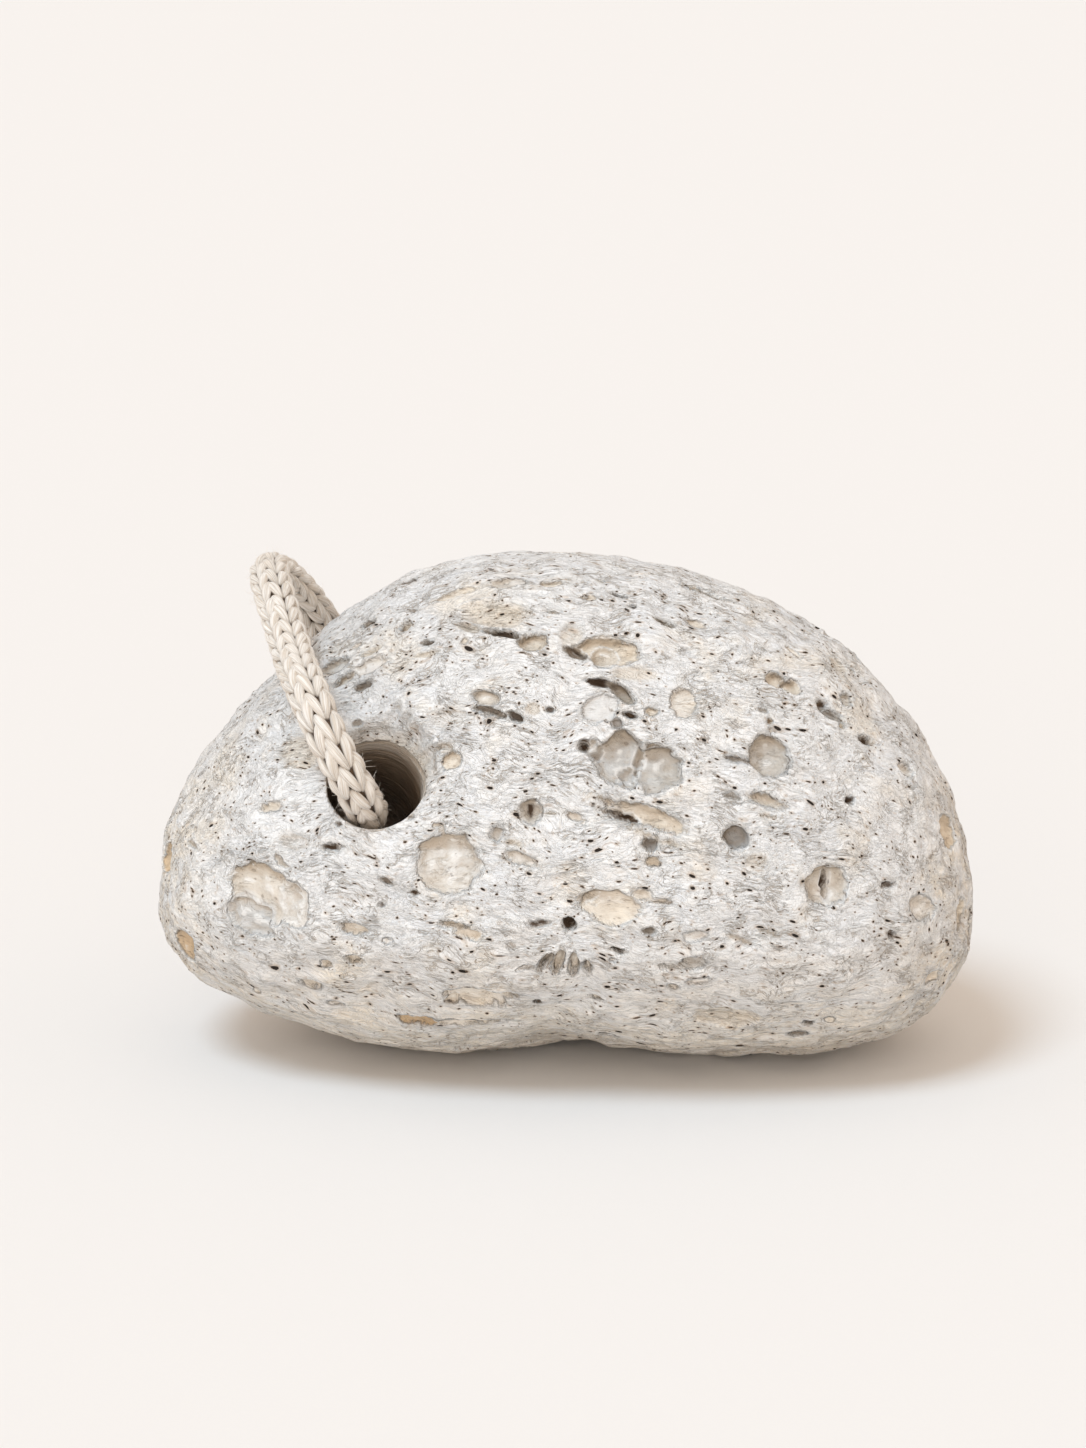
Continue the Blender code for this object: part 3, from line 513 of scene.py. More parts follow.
def noise(points_mm, size_mm, offset=0.0):
    """Smooth noise from about -1 to 1, whose lumps are about size_mm wide."""
    place = points_mm / size_mm + offset
    cell = np.floor(place).astype(np.int64)
    part = place - cell
    ease = part**3 * (part * (part * 6 - 15) + 10)
    total = np.zeros(len(place))
    for corner in np.ndindex(2, 2, 2):
        slopes = NOISE_SLOPES[cell_number(cell + corner)]
        weight = np.prod(np.where(np.array(corner), ease, 1 - ease), axis=1)
        total += weight * np.sum(slopes * (part - corner), axis=1)
    return 1.6 * total


def layered_noise(points_mm, layers):
    """The sum of several layers of noise: each one's size, height and offset."""
    return sum(height * noise(points_mm, size, offset) for size, height, offset in layers)


def cell_edges(points_mm, size_mm):
    """How far each point is from the wall of its cell, in cells: 0 on a wall."""
    place = points_mm / size_mm
    cell = np.floor(place).astype(np.int64)
    nearest = np.full(len(place), 9.0)
    second = np.full(len(place), 9.0)
    for step in np.ndindex(3, 3, 3):
        other = cell + np.array(step) - 1
        gap = np.linalg.norm(other + NOISE_POINTS[cell_number(other)] - place, axis=1)
        second = np.minimum(second, np.maximum(nearest, gap))
        nearest = np.minimum(nearest, gap)
    return second - nearest


# ---------------------------------------------------------------- the stone


def outline_radius(clock):
    """The outline's distance from the middle, in metres, at each clock angle."""
    points = np.array(OUTLINE_MM) * MM
    angles = np.arctan2(points[:, 1], points[:, 0])
    radii = np.hypot(points[:, 0], points[:, 1])
    order = np.argsort(angles)
    angles, radii = angles[order], radii[order]
    angles = np.concatenate([angles[-2:] - math.tau, angles, angles[:2] + math.tau])
    radii = np.concatenate([radii[-2:], radii, radii[:2]])
    slopes = np.gradient(radii, angles)
    i = np.clip(np.searchsorted(angles, clock) - 1, 0, len(angles) - 2)
    gap = angles[i + 1] - angles[i]
    t = (clock - angles[i]) / gap
    return (
        radii[i] * (1 + 2 * t) * (1 - t) ** 2
        + slopes[i] * gap * t * (1 - t) ** 2
        + radii[i + 1] * t * t * (3 - 2 * t)
        + slopes[i + 1] * gap * t * t * (t - 1)
    )


def lump_direction(azimuth, elevation):
    azimuth, elevation = math.radians(azimuth), math.radians(elevation)
    flat = math.cos(elevation)
    return np.array([flat * math.cos(azimuth), flat * math.sin(azimuth), math.sin(elevation)])


def stone_form(directions):
    """The smooth stone without its pits: the surface point in each direction of a unit sphere."""
    right, up, front = directions @ RIGHT, directions @ UP, directions @ FRONT
    side = np.hypot(right, up)
    across = outline_radius(np.arctan2(up, right)) * side ** (2 / FULLNESS)
    out = HALF_DEPTH * np.sign(front) * np.abs(front) ** (2 / FULLNESS)
    side = np.maximum(side, 1e-9)
    points = (across * right / side)[:, None] * RIGHT + (across * up / side)[:, None] * UP
    points = points + out[:, None] * FRONT
    for azimuth, elevation, rise, fade in LUMPS:
        angle = np.arccos(np.clip(unit(points) @ lump_direction(azimuth, elevation), -1, 1))
        swell = rise * MM * np.exp(-((angle / math.radians(fade)) ** 2))
        points = points + swell[:, None] * unit(points)
    return points + STONE_MIDDLE


def front_direction(right_mm, up_mm):
    """The direction of the sphere that the form puts at this place of the outline's plane."""
    clock = np.array([math.atan2(up_mm, right_mm)])
    share = math.hypot(right_mm, up_mm) * MM / outline_radius(clock)[0]
    side = share ** (FULLNESS / 2)
    front = math.sqrt(max(0.0, 1 - side * side))
    return unit(side * (math.cos(clock[0]) * RIGHT + math.sin(clock[0]) * UP) + front * FRONT)


def surface_frame(direction):
    """The form's point in one direction, its normal, and two tangents, the first along the flow."""
    step = 0.01
    aside = unit(np.cross(direction, UP + 0.3 * RIGHT))
    above = np.cross(direction, aside)
    near = unit(np.stack([direction, direction + step * aside, direction + step * above]))
    middle, one, other = stone_form(near)
    normal = unit(np.cross(one - middle, other - middle))
    normal = normal * np.sign(normal @ direction)
    along = unit(FLOW - (FLOW @ normal) * normal)
    return middle, normal, along, np.cross(normal, along)


def turned_frame(frame, degrees):
    middle, normal, along, across = frame
    turn = math.radians(degrees)
    return (
        middle,
        normal,
        math.cos(turn) * along + math.sin(turn) * across,
        math.cos(turn) * across - math.sin(turn) * along,
    )


class Surface:
    """The stone's surface points while it is being carved, and the marks that colour it."""

    def __init__(self, points):
        self.smooth = points
        self.points = points.copy()
        flow_mm = np.stack([points @ FLOW / 1.8, points[:, 1], points[:, 2]], axis=1) / MM
        self.ragged = layered_noise(flow_mm, RAGGED_EDGE)
        self.floor = layered_noise(points / MM, UNEVEN_FLOOR)
        # How grey, beige and dark (painted shadow) each pit's floor is, how stained the soft hollows
        # are, and how much painted shade falls on the wall under a pit's upper edge.
        names = ("grey", "beige", "dark", "soft", "under")
        self.marks = {name: np.zeros(len(points)) for name in names}
        # How far in mm each point is from the edge of the nearest pit, and of the nearest dark
        # one: less than 0 inside.
        self.marks["pit"] = np.full(len(points), MARK_REACH_MM)
        self.marks["deep"] = np.full(len(points), MARK_REACH_MM)

    def mark(self, name, near, values, keep):
        """Change one mark at the near points to the higher or the lower of the two values."""
        self.marks[name][near] = keep(self.marks[name][near], values)

    def carve(self, frame, half_length, half_width, depth, steep, undercut=0.0, tints=None):
        """Push the points inside a ragged oval in, and mark how far they are from its edge."""
        middle, normal, along, across = frame
        reach = 1.6 * max(half_length, half_width) + MM
        near = np.flatnonzero(np.abs(self.smooth[:, 0] - middle[0]) < reach)
        offset = self.smooth[near] - middle
        close = np.linalg.norm(offset, axis=1) < reach
        near, offset = near[close], offset[close]
        oval = np.hypot(offset @ along / half_length, offset @ across / half_width)
        oval = oval * (1 + self.ragged[near])
        bowl = np.clip(1 - oval**steep, 0, 1)
        sunk = depth * bowl**0.8 * (1 + self.floor[near] * bowl)
        lip = np.exp(-(((oval - LIP_AT) / LIP_WIDTH) ** 2))
        rise = LIP_RISE * min(half_width, LIP_LIMIT) * lip
        self.points[near] += (rise - sunk)[:, None] * normal
        self.points[near] += (undercut * bowl)[:, None] * across
        if tints is None:
            return
        if steep <= SOFT_STEEP:
            stain = tints[1] * np.clip((1.15 - oval) / 0.5, 0, 1)
            self.mark("soft", near, stain, np.maximum)
            return
        # Painted shade: inside a crisp pit, the wall below its upper left edge is marked for
        # darkening.
        toward = (offset @ across / half_width - 0.55 * offset @ along / half_length) / 1.14
        high = np.clip((toward - 0.25) / 0.5, 0, 1)
        shade = min(1.0, depth / SHADE_DEPTH) * high * np.clip((1.05 - oval) / 0.12, 0, 1)
        self.mark("under", near, shade, np.maximum)
        gap = (oval - 1) * min(half_length, half_width) / MM
        self.mark("pit", near, gap, np.minimum)
        if tints[2] > DARK_ENOUGH:
            self.mark("deep", near, gap, np.minimum)
        share = np.clip((1.45 - oval) / 0.35, 0, 1)
        for name, tint in zip(("grey", "beige", "dark"), tints):
            mark = self.marks[name]
            mark[near] += share * (tint - mark[near])


def fine_sphere():
    """Unit directions and triangles, closer together on the side that shows."""
    build = bmesh.new()
    bmesh.ops.create_icosphere(build, subdivisions=1, radius=1.0)
    bmesh.ops.subdivide_edges(build, edges=build.edges[:], cuts=SPHERE_CUTS, use_grid_fill=True)
    points = np.array([vertex.co[:] for vertex in build.verts])
    faces = np.array([[vertex.index for vertex in face.verts] for face in build.faces])
    build.free()
    return unit(unit(points) + FRONT_SHARE * FRONT), faces


def normals_of(points, faces):
    a, b, c = (points[faces[:, k]] for k in range(3))
    face_normals = np.cross(b - a, c - a)
    total = np.zeros_like(points)
    for k in range(3):
        np.add.at(total, faces[:, k], face_normals)
    return unit(total)


def crease_of(points, faces, normals):
    """How hollow the surface is at each point: 1 in a sharp furrow, -1 on a sharp rim."""
    total = np.zeros_like(points)
    count = np.zeros(len(points))
    for one, other in ((0, 1), (1, 2), (2, 0), (1, 0), (2, 1), (0, 2)):
        np.add.at(total, faces[:, one], points[faces[:, other]])
        np.add.at(count, faces[:, one], 1)
    bend = np.sum((total / count[:, None] - points) * normals, axis=1)
    return np.clip(bend / CREASE_FULL, -1, 1)


def roughen(surface, normals):
    """The grain of the rock: shallow lumps, drawn-out ridges and the walls between bubbles."""
    at = surface.smooth / MM
    flow = np.stack([at @ FLOW, at[:, 1], at[:, 2]], axis=1)
    bend = np.stack([noise(at, 8.0, k) for k in (1.5, 5.5, 8.5)], axis=1)
    bent = flow + RIDGE_BEND_MM * bend
    patchy = np.clip(0.5 + 0.9 * noise(at, 11.0, 6.0), 0.15, 1)
    walls = cell_edges(bent / np.array([CUP_STRETCH, 1.0, 1.0]), CUP_SIZE_MM)
    cups = -CUP_DEPTH_MM * np.clip(walls / 0.45, 0, 1) ** 0.7 * patchy
    lumps = layered_noise(at, ROCK_LUMPS)
    ridges = layered_noise(bent / np.array([RIDGE_STRETCH, 1.0, 1.0]), ROCK_RIDGES)
    surface.points += ((lumps + ridges + cups) * MM)[:, None] * normals


def hole_axis():
    flat = math.cos(HOLE_FALL)
    return Vector((-flat * math.sin(HOLE_TURN), flat * math.cos(HOLE_TURN), -math.sin(HOLE_FALL)))


def from_hole(points):
    """How far each point is behind the mouth along the hole, and its offset from the hole's axis."""
    axis = np.array(hole_axis())
    offset = points - np.array(MOUTH)
    depth = offset @ axis
    return depth, offset - depth[:, None] * axis


def flare_mouth(surface):
    """Round the mouth's upper edge off, where the cord has worn it."""
    depth, aside = from_hole(surface.smooth)
    gap = np.linalg.norm(aside, axis=1)
    upward = (aside @ UP + FLARE_RIGHTWARD * aside @ RIGHT) / np.maximum(gap, 1e-9)
    share = np.clip((upward + 0.35) / 1.1, 0, 1)
    past = (gap - 0.5 * HOLE_RADIUS) / (0.5 * HOLE_RADIUS + FLARE_WIDTH)
    fall = np.clip(1 - past, 0, 1) ** 2
    fall = np.where(np.abs(depth) < FLARE_REACH, fall, 0.0)
    surface.points += (FLARE_DEPTH * share * fall)[:, None] * np.array(hole_axis())
    stain = np.clip(FLARE_STAIN * share * fall, 0, FLARE_STAIN_MOST)
    surface.marks["soft"] = np.maximum(surface.marks["soft"], stain)


def other_pits():
    """Seeded pits away from the front: frame, half length, half width and depth."""
    chance = random.Random(OTHER_PIT_SEED)
    pits = []
    golden = math.pi * (3 - math.sqrt(5))
    for i in range(OTHER_PIT_COUNT):
        rise = 1 - 2 * (i + 0.5) / OTHER_PIT_COUNT
        turn = i * golden + chance.uniform(-0.35, 0.35)
        flat = math.sqrt(1 - rise * rise)
        direction = np.array([flat * math.cos(turn), flat * math.sin(turn), rise])
        half = chance.uniform(*OTHER_PIT_HALF_MM) * MM
        narrow = half * chance.uniform(0.45, 0.95)
        if direction @ FRONT < 0.15 and direction[2] > -0.7:
            pits.append((surface_frame(direction), half, narrow, OTHER_PIT_DEPTH_SHARE * narrow))
    return pits


def carve_pits(surface, normals):
    for right, up, long, wide, depth, turn, steep, under, *tints in FRONT_PITS:
        frame = turned_frame(surface_frame(front_direction(right, up)), turn)
        surface.carve(frame, long * MM, wide * MM, depth * MM, steep, under * MM, tints)
    chance = random.Random(BUBBLE_SEED)
    for frame, half_length, half_width, depth in other_pits():
        tints = (chance.uniform(0.2, 0.8), chance.uniform(0.1, 0.7), 0.0)
        surface.carve(frame, half_length, half_width, depth, 4.5, 0.3 * depth, tints)
    least, most = BUBBLE_HALF_MM
    for _ in range(BUBBLE_COUNT):
        i = chance.randrange(len(surface.smooth))
        long = least + (most - least) * chance.random() ** 3
        wide = max(0.4, long * chance.uniform(0.25, 0.7))
        depth = wide * chance.uniform(0.4, 0.9)
        turn = chance.gauss(0, 14)
        tints = (0.4 * chance.random(), 0.7 * chance.random(), 0.9 * chance.random() ** 4)
        normal = normals[i]
        along = FLOW - (FLOW @ normal) * normal
        if np.linalg.norm(along) < 0.15 or surface.marks["pit"][i] < 0.9:
            continue
        if normal @ FRONT > 0.2 and chance.random() < FRONT_BUBBLES_LEFT_OUT:
            continue
        along = unit(along)
        frame = turned_frame((surface.smooth[i], normal, along, np.cross(normal, along)), turn)
        surface.carve(frame, long * MM, wide * MM, depth * MM, 3.5, 0.15 * depth * MM, tints)


def hole_cutter():
    """The drill's path: a round bar with the marks of its turning."""
    axis = np.array(hole_axis())
    start = np.array(MOUTH) - HOLE_LEAD * axis
    across = unit(np.cross(axis, RIGHT))
    beside = np.cross(axis, across)
    at = np.linspace(0, HOLE_REACH, HOLE_RINGS)
    angle = 2 * math.pi * np.arange(HOLE_SIDES) / HOLE_SIDES
    level, turn = (grid.ravel() for grid in np.meshgrid(at, angle, indexing="ij"))
    place = [level / MM * TURNING_PACE, 2.0 * np.cos(turn), 2.0 * np.sin(turn)]
    place = np.stack(place, axis=1)
    radius = HOLE_RADIUS
    for size, height, offset in TURNING_MARKS:
        radius = radius + height * MM * noise(place, size, offset)
    spoke = np.cos(turn)[:, None] * across + np.sin(turn)[:, None] * beside
    points = start + level[:, None] * axis + radius[:, None] * spoke
    cutter = mesh_object("drill_path", points, tube_faces((HOLE_RINGS, HOLE_SIDES)), smooth=False)
    build = bmesh.new()
    build.from_mesh(cutter.data)
    bmesh.ops.recalc_face_normals(build, faces=build.faces[:])
    build.to_mesh(cutter.data)
    build.free()
    return cutter


def drill(stone, cutter):
    """Cut the hole, and keep the mesh with the cut applied."""
    cut = stone.modifiers.new("hole", "BOOLEAN")
    cut.operation = "DIFFERENCE"
    cut.solver = "EXACT"
    cut.object = cutter
    graph = bpy.context.evaluated_depsgraph_get()
    drilled = bpy.data.meshes.new_from_object(stone.evaluated_get(graph))
    stone.modifiers.clear()
    stone.data = drilled
    bpy.data.objects.remove(cutter)


def carry_marks(stone, surface):
    """Give the drilled mesh the marks of the surface it was cut from."""
    tree = kdtree.KDTree(len(surface.points))
    for i, point in enumerate(surface.points):
        tree.insert(point, i)
    tree.balance()
    count = len(stone.data.vertices)
    flat = np.empty(count * 3, np.float32)
    stone.data.vertices.foreach_get("co", flat)
    places = flat.reshape(-1, 3).astype(float)
    found = [tree.find(place) for place in places]
    nearest = np.array([index for _, index, _ in found])
    for name, mark in surface.marks.items():
        set_values(stone, name, mark[nearest])
    aside = np.linalg.norm(from_hole(places)[1], axis=1)
    new = np.array([gap for _, _, gap in found]) > 0.01 * MM
    set_values(stone, "bore", (new & (aside < HOLE_RADIUS + BORE_GAP)).astype(float))


def make_stone(material):
    directions, faces = fine_sphere()
    surface = Surface(stone_form(directions))
    normals = normals_of(surface.smooth, faces)
    roughen(surface, normals)
    right, up, long, wide, depth = MOUTH_WEAR_MM
    wear = surface_frame(front_direction(right, up))
    surface.carve(wear, long * MM, wide * MM, depth * MM, 2.6)
    flare_mouth(surface)
    carve_pits(surface, normals)
    surface.points[:, 2] = np.maximum(surface.points[:, 2], 0.0)
    surface.marks["crease"] = crease_of(surface.points, faces, normals_of(surface.points, faces))
    stone = mesh_object("pumice", surface.points, faces.tolist(), material)
    drill(stone, hole_cutter())
    carry_marks(stone, surface)
    return stone


# ---------------------------------------------------------------- the cord


def smooth_route():
    """Points a step apart along the natural cubic spline through the cord's route."""
    knots = np.array(CORD_ROUTE_MM) * MM
    gaps = np.linalg.norm(np.diff(knots, axis=0), axis=1)
    at = np.concatenate([[0.0], np.cumsum(gaps)])
    count = len(knots)
    matrix = np.eye(count)
    bends = np.zeros((count, 3))
    for i in range(1, count - 1):
        matrix[i, i - 1 : i + 2] = gaps[i - 1], 2 * (gaps[i - 1] + gaps[i]), gaps[i]
        bends[i] = (knots[i + 1] - knots[i]) / gaps[i] - (knots[i] - knots[i - 1]) / gaps[i - 1]
    bends = np.linalg.solve(matrix, 6 * bends)
    t = np.linspace(0, at[-1], round(at[-1] / PATH_STEP) + 1)
    i = np.clip(np.searchsorted(at, t, side="right") - 1, 0, count - 2)
    gap, past, left = gaps[i, None], (t - at[i])[:, None], (at[i + 1] - t)[:, None]
    return (
        (bends[i] * left**3 + bends[i + 1] * past**3) / (6 * gap)
        + (knots[i] / gap - bends[i] * gap / 6) * left
        + (knots[i + 1] / gap - bends[i + 1] * gap / 6) * past
    )


class CordPath:
    """The cord's middle line, with a direction across it that never twists round it."""

    def __init__(self, points):
        self.points = points
        steps = np.linalg.norm(np.diff(points, axis=0), axis=1)
        self.at = np.concatenate([[0.0], np.cumsum(steps)])
        self.length = self.at[-1]
        self.ahead = unit(np.gradient(points, self.at, axis=0))
        across = np.empty_like(points)
        across[0] = unit(np.cross(self.ahead[0], np.array([1.0, 0.0, 0.0])))
        for i in range(1, len(points)):
            carried = across[i - 1] - (across[i - 1] @ self.ahead[i]) * self.ahead[i]
            across[i] = unit(carried)
        self.across = across

    def read(self, table, at):
        return np.stack([np.interp(at, self.at, table[:, k]) for k in range(3)], axis=-1)

    def place(self, at, turn, radius):
        """Points at a distance along the cord, an angle round it and a distance from its middle."""
        at = np.clip(at, 0, self.length)
        ahead = unit(self.read(self.ahead, at))
        across = self.read(self.across, at)
        across = unit(across - np.sum(across * ahead, axis=-1, keepdims=True) * ahead)
        beside = np.cross(ahead, across)
        outward = np.cos(turn)[..., None] * across + np.sin(turn)[..., None] * beside
        return self.read(self.points, at) + radius[..., None] * outward, outward


def knit_legs(path):
    """The middle lines of all the stitches' legs, ring by ring, and what each ring needs."""
    chance = np.random.default_rng(KNIT_SEED)
    rows = int(path.length / STITCH_PITCH)
    row, column, side = np.meshgrid(
        np.arange(rows), np.arange(COLUMNS), np.array([-1.0, 1.0]), indexing="ij"
    )
    row, column, side = row.ravel(), column.ravel(), side.ravel()
    count = len(row)
    t = np.linspace(0.0, 1.0, LEG_RINGS)[None, :]
    shift = chance.normal(0, SHIFT_UNEVEN, (count, 1)) * STITCH_PITCH
    stretch = 1 + chance.normal(0, LENGTH_UNEVEN, (count, 1))
    start = (row[:, None] + column[:, None] / COLUMNS - ROW_START) * STITCH_PITCH + shift
    at = start + LEG_LENGTH * stretch * t
    column_angle = 2 * math.pi / COLUMNS
    spread = LEG_FOOT_SPREAD + LEG_TIP_SPREAD * t + chance.normal(0, SPREAD_UNEVEN, (count, 1))
    turn = (column[:, None] + side[:, None] * spread) * column_angle + COLUMN_TURN * at
    # A leg comes up out of the stitch below, lies proud, and dips under the next one.
    swell = np.sin(math.pi * np.clip(0.06 + 0.88 * t, 0, 1)) ** 0.5
    crest = CORD_RADIUS + KNIT_PROUD - LEG_HALF_THICKNESS
    radius = crest - LEG_DIP * (1 - swell) + chance.normal(0, HEIGHT_UNEVEN_MM, (count, 1)) * MM
    width = LEG_HALF_WIDTH * (0.22 + 0.78 * np.sin(math.pi * t**1.35) ** 0.62)
    width = width * (1 + chance.normal(0, WIDTH_UNEVEN, (count, 1)))
    return at, turn, radius, width, chance.uniform(0, 1, count)


def make_cord(path, material):
    """Every stitch's leg is a leaf of yarn, swept along its own line round a plain core."""
    at, turn, radius, width, shade = knit_legs(path)
    middle, outward = path.place(at, turn, radius)
    ahead = unit(np.gradient(middle, axis=1))
    outward = unit(outward - np.sum(outward * ahead, axis=-1, keepdims=True) * ahead)
    beside = np.cross(ahead, outward)
    round_angle = 2 * math.pi * np.arange(LEG_SIDES) / LEG_SIDES
    flat = np.cos(round_angle)[None, None, :, None] * width[:, :, None, None]
    tall = np.sin(round_angle)[None, None, :, None] * width[:, :, None, None]
    tall = tall * LEG_HALF_THICKNESS / LEG_HALF_WIDTH
    ring = middle[:, :, None] + flat * beside[:, :, None] + tall * outward[:, :, None]
    points = ring.reshape(-1, 3)
    core_points, core_faces = tube(path, CORE_RADIUS, CORE_STEP, CORE_SIDES)
    faces = tube_faces(ring.shape[:3]) + [[i + len(points) for i in face] for face in core_faces]
    points = np.concatenate([points, core_points])
    cord = mesh_object("knitted_cord", points, faces, material)

    # What the material reads: how high a point lies on its leg, which sets the painted shade low on
    # the leg and on the core, the leg's own tone, and the place along and round the leg.
    t = np.linspace(0.0, 1.0, LEG_RINGS)[None, :, None]
    high = 0.5 + 0.5 * np.sin(round_angle)
    marks = {"crest": high * np.sin(math.pi * t) ** 0.5, "tone": shade[:, None, None], "along": t}
    marks.update({"cosine": np.cos(round_angle), "sine": np.sin(round_angle)})
    for name, mark in marks.items():
        mark = np.broadcast_to(mark, ring.shape[:3]).ravel()
        set_values(cord, name, np.concatenate([mark, np.zeros(len(core_points))]))
    # Painted shade: how far each point lies inside the hole, for the cord to darken there.
    depth, aside = from_hole(points)
    inside = np.linalg.norm(aside, axis=1) < HOLE_RADIUS + MM
    set_values(cord, "hole_shade", np.clip((depth - HOLE_SHADE_START) / HOLE_SHADE_FADE, 0, 1) * inside)
    return cord


def tube(path, radius, step, sides):
    """The points and faces of a plain round tube along the cord."""
    count = round(path.length / step) + 1
    at = np.repeat(np.linspace(0, path.length, count)[:, None], sides, axis=1)
    turn = np.broadcast_to(2 * math.pi * np.arange(sides) / sides, (count, sides))
    points, _ = path.place(at, turn, np.full((count, sides), radius))
    return points.reshape(-1, 3), tube_faces((count, sides))


def make_fuzz(path, material):
    """Short loose fibres that stand off the cord."""
    chance = np.random.default_rng(HAIR_SEED)
    at = chance.uniform(0, path.length, HAIR_COUNT)
    turn = chance.uniform(0, 2 * math.pi, HAIR_COUNT)
    root, outward = path.place(at, turn, np.full(HAIR_COUNT, CORD_RADIUS - HAIR_ROOT))
    ahead = unit(path.read(path.ahead, at))
    beside = np.cross(ahead, outward)
    lean = chance.normal(0, 0.9, (HAIR_COUNT, 1)) * ahead
    lean = lean + chance.normal(0, 0.6, (HAIR_COUNT, 1)) * beside
    heading = unit(outward * 0.6 + lean)
    curl = unit(chance.normal(0, 1, (HAIR_COUNT, 3)))
    length = chance.uniform(*HAIR_LENGTH_MM, (HAIR_COUNT, 1)) * MM
    t = np.linspace(0, 1, HAIR_RINGS)[None, :, None]
    way = t * heading[:, None] + 0.45 * t * t * curl[:, None]
    middle = root[:, None] + length[:, None] * way
    run = unit(np.gradient(middle, axis=1))
    one = unit(np.cross(run, outward[:, None] + 0.01))
    other = np.cross(run, one)
    thick = HAIR_RADIUS_MM * MM * (1 - 0.6 * t)
    round_angle = 2 * math.pi * np.arange(HAIR_SIDES) / HAIR_SIDES
    ring = (
        middle[:, :, None]
        + (thick * one)[:, :, None] * np.cos(round_angle)[None, None, :, None]
        + (thick * other)[:, :, None] * np.sin(round_angle)[None, None, :, None]
    )
    faces = tube_faces(ring.shape[:3], closed=False)
    return mesh_object("cord_fuzz", ring.reshape(-1, 3), faces, material)


class Nodes:
    """Short ways to write one material's nodes."""

    def __init__(self, name):
        self.material = bpy.data.materials.new(name)
        self.material.use_nodes = True
        self.tree = self.material.node_tree
        self.shader = self.tree.nodes["Principled BSDF"]

    def node(self, kind, inputs, output=0, **settings):
        node = self.tree.nodes.new(kind)
        for name, value in settings.items():
            setattr(node, name, value)
        for name, value in inputs.items():
            self.put(node.inputs[name], value)
        return node.outputs[output]

    def put(self, socket, value):
        if isinstance(value, bpy.types.NodeSocket):
            self.tree.links.new(value, socket)
        else:
            socket.default_value = value

    def math(self, operation, one, other=0.0):
        return self.node("ShaderNodeMath", {0: one, 1: other}, operation=operation)

    def vector(self, operation, one, other, output=0):
        inputs = {0: one, 1: other}
        return self.node("ShaderNodeVectorMath", inputs, output, operation=operation)

    def join(self, x, y, z):
        return self.node("ShaderNodeCombineXYZ", {0: x, 1: y, 2: z})

    def axis(self, vector, number):
        """One part of a vector: 0, 1 or 2."""
        return self.node("ShaderNodeSeparateXYZ", {0: vector}, number)

    def add(self, *values):
        total = values[0]
        for value in values[1:]:
            total = self.math("ADD", total, value)
        return total

    def times(self, *values):
        total = values[0]
        for value in values[1:]:
            total = self.math("MULTIPLY", total, value)
        return total

    def ease(self, value, low, high, first=0.0, last=1.0):
        """A smooth step from first, at and below low, to last, at and above high."""
        if low > high:
            low, high, first, last = high, low, last, first
        inputs = {"Value": value, "From Min": low, "From Max": high}
        inputs.update({"To Min": first, "To Max": last})
        return self.node("ShaderNodeMapRange", inputs, interpolation_type="SMOOTHSTEP")

    def mix(self, share, one, other):
        inputs = {0: share, 6: self.colour(one), 7: self.colour(other)}
        return self.node("ShaderNodeMix", inputs, 2, data_type="RGBA")

    def colour(self, value):
        return (*value, 1.0) if isinstance(value, tuple) else value

    def map(self, vector, scale=(1.0, 1.0, 1.0), place=(0.0, 0.0, 0.0), turn=(0.0, 0.0, 0.0)):
        inputs = {"Vector": vector, "Location": place, "Rotation": turn, "Scale": scale}
        return self.node("ShaderNodeMapping", inputs)

    def noise(self, vector, size, detail=2.0, rough=0.5, bend=0.0, output=0):
        """Soft noise around 0.5, whose lumps are about size wide."""
        inputs = {"Vector": vector, "Scale": 1 / size, "Detail": detail}
        inputs.update({"Roughness": rough, "Distortion": bend})
        return self.node("ShaderNodeTexNoise", inputs, output)

    def cells(self, vector, feature="F1", output=0):
        inputs = {"Vector": vector, "Scale": 1.0}
        return self.node("ShaderNodeTexVoronoi", inputs, output, feature=feature)

    def read(self, name):
        """One of the numbers that the mesh keeps for each point."""
        return self.node("ShaderNodeAttribute", {}, 2, attribute_name=name)

    def millimetres(self):
        """The place on the object, in mm."""
        place = self.node("ShaderNodeTexCoord", {}, 3)
        return self.map(place, scale=(1 / MM, 1 / MM, 1 / MM))

    def finish(self, colour, roughness, height_mm, specular):
        self.put(self.shader.inputs["Base Color"], self.colour(colour))
        self.put(self.shader.inputs["Roughness"], roughness)
        self.shader.inputs["Specular IOR Level"].default_value = specular
        bump = self.node("ShaderNodeBump", {"Height": height_mm, "Distance": MM, "Strength": 1.0})
        self.put(self.shader.inputs["Normal"], bump)
        return self.material


def speck_layer(nodes, vector, cell_mm, stretch, radius, crowd, offset):
    """Small slits scattered along the flow: how far inside one, and how far inside its stain."""
    scale = (1 / (cell_mm * stretch), 1 / cell_mm, 1 / cell_mm)
    place = nodes.map(vector, scale=scale, place=(offset, offset, offset))
    gap = nodes.cells(place)
    chance = nodes.node("ShaderNodeSeparateColor", {"Color": nodes.cells(place, output=1)})
    size = nodes.node("ShaderNodeSeparateColor", {"Color": nodes.cells(place, output=1)}, 1)
    there = nodes.math("LESS_THAN", chance, crowd)
    reach = nodes.times(nodes.add(nodes.times(size, 0.7), 0.3), radius)
    ratio = nodes.math("DIVIDE", gap, reach)
    core = nodes.times(nodes.ease(ratio, 0.85, 1.10, 1.0, 0.0), there)
    stain = nodes.times(nodes.ease(ratio, 0.8, 2.4, 1.0, 0.0), there)
    return core, stain


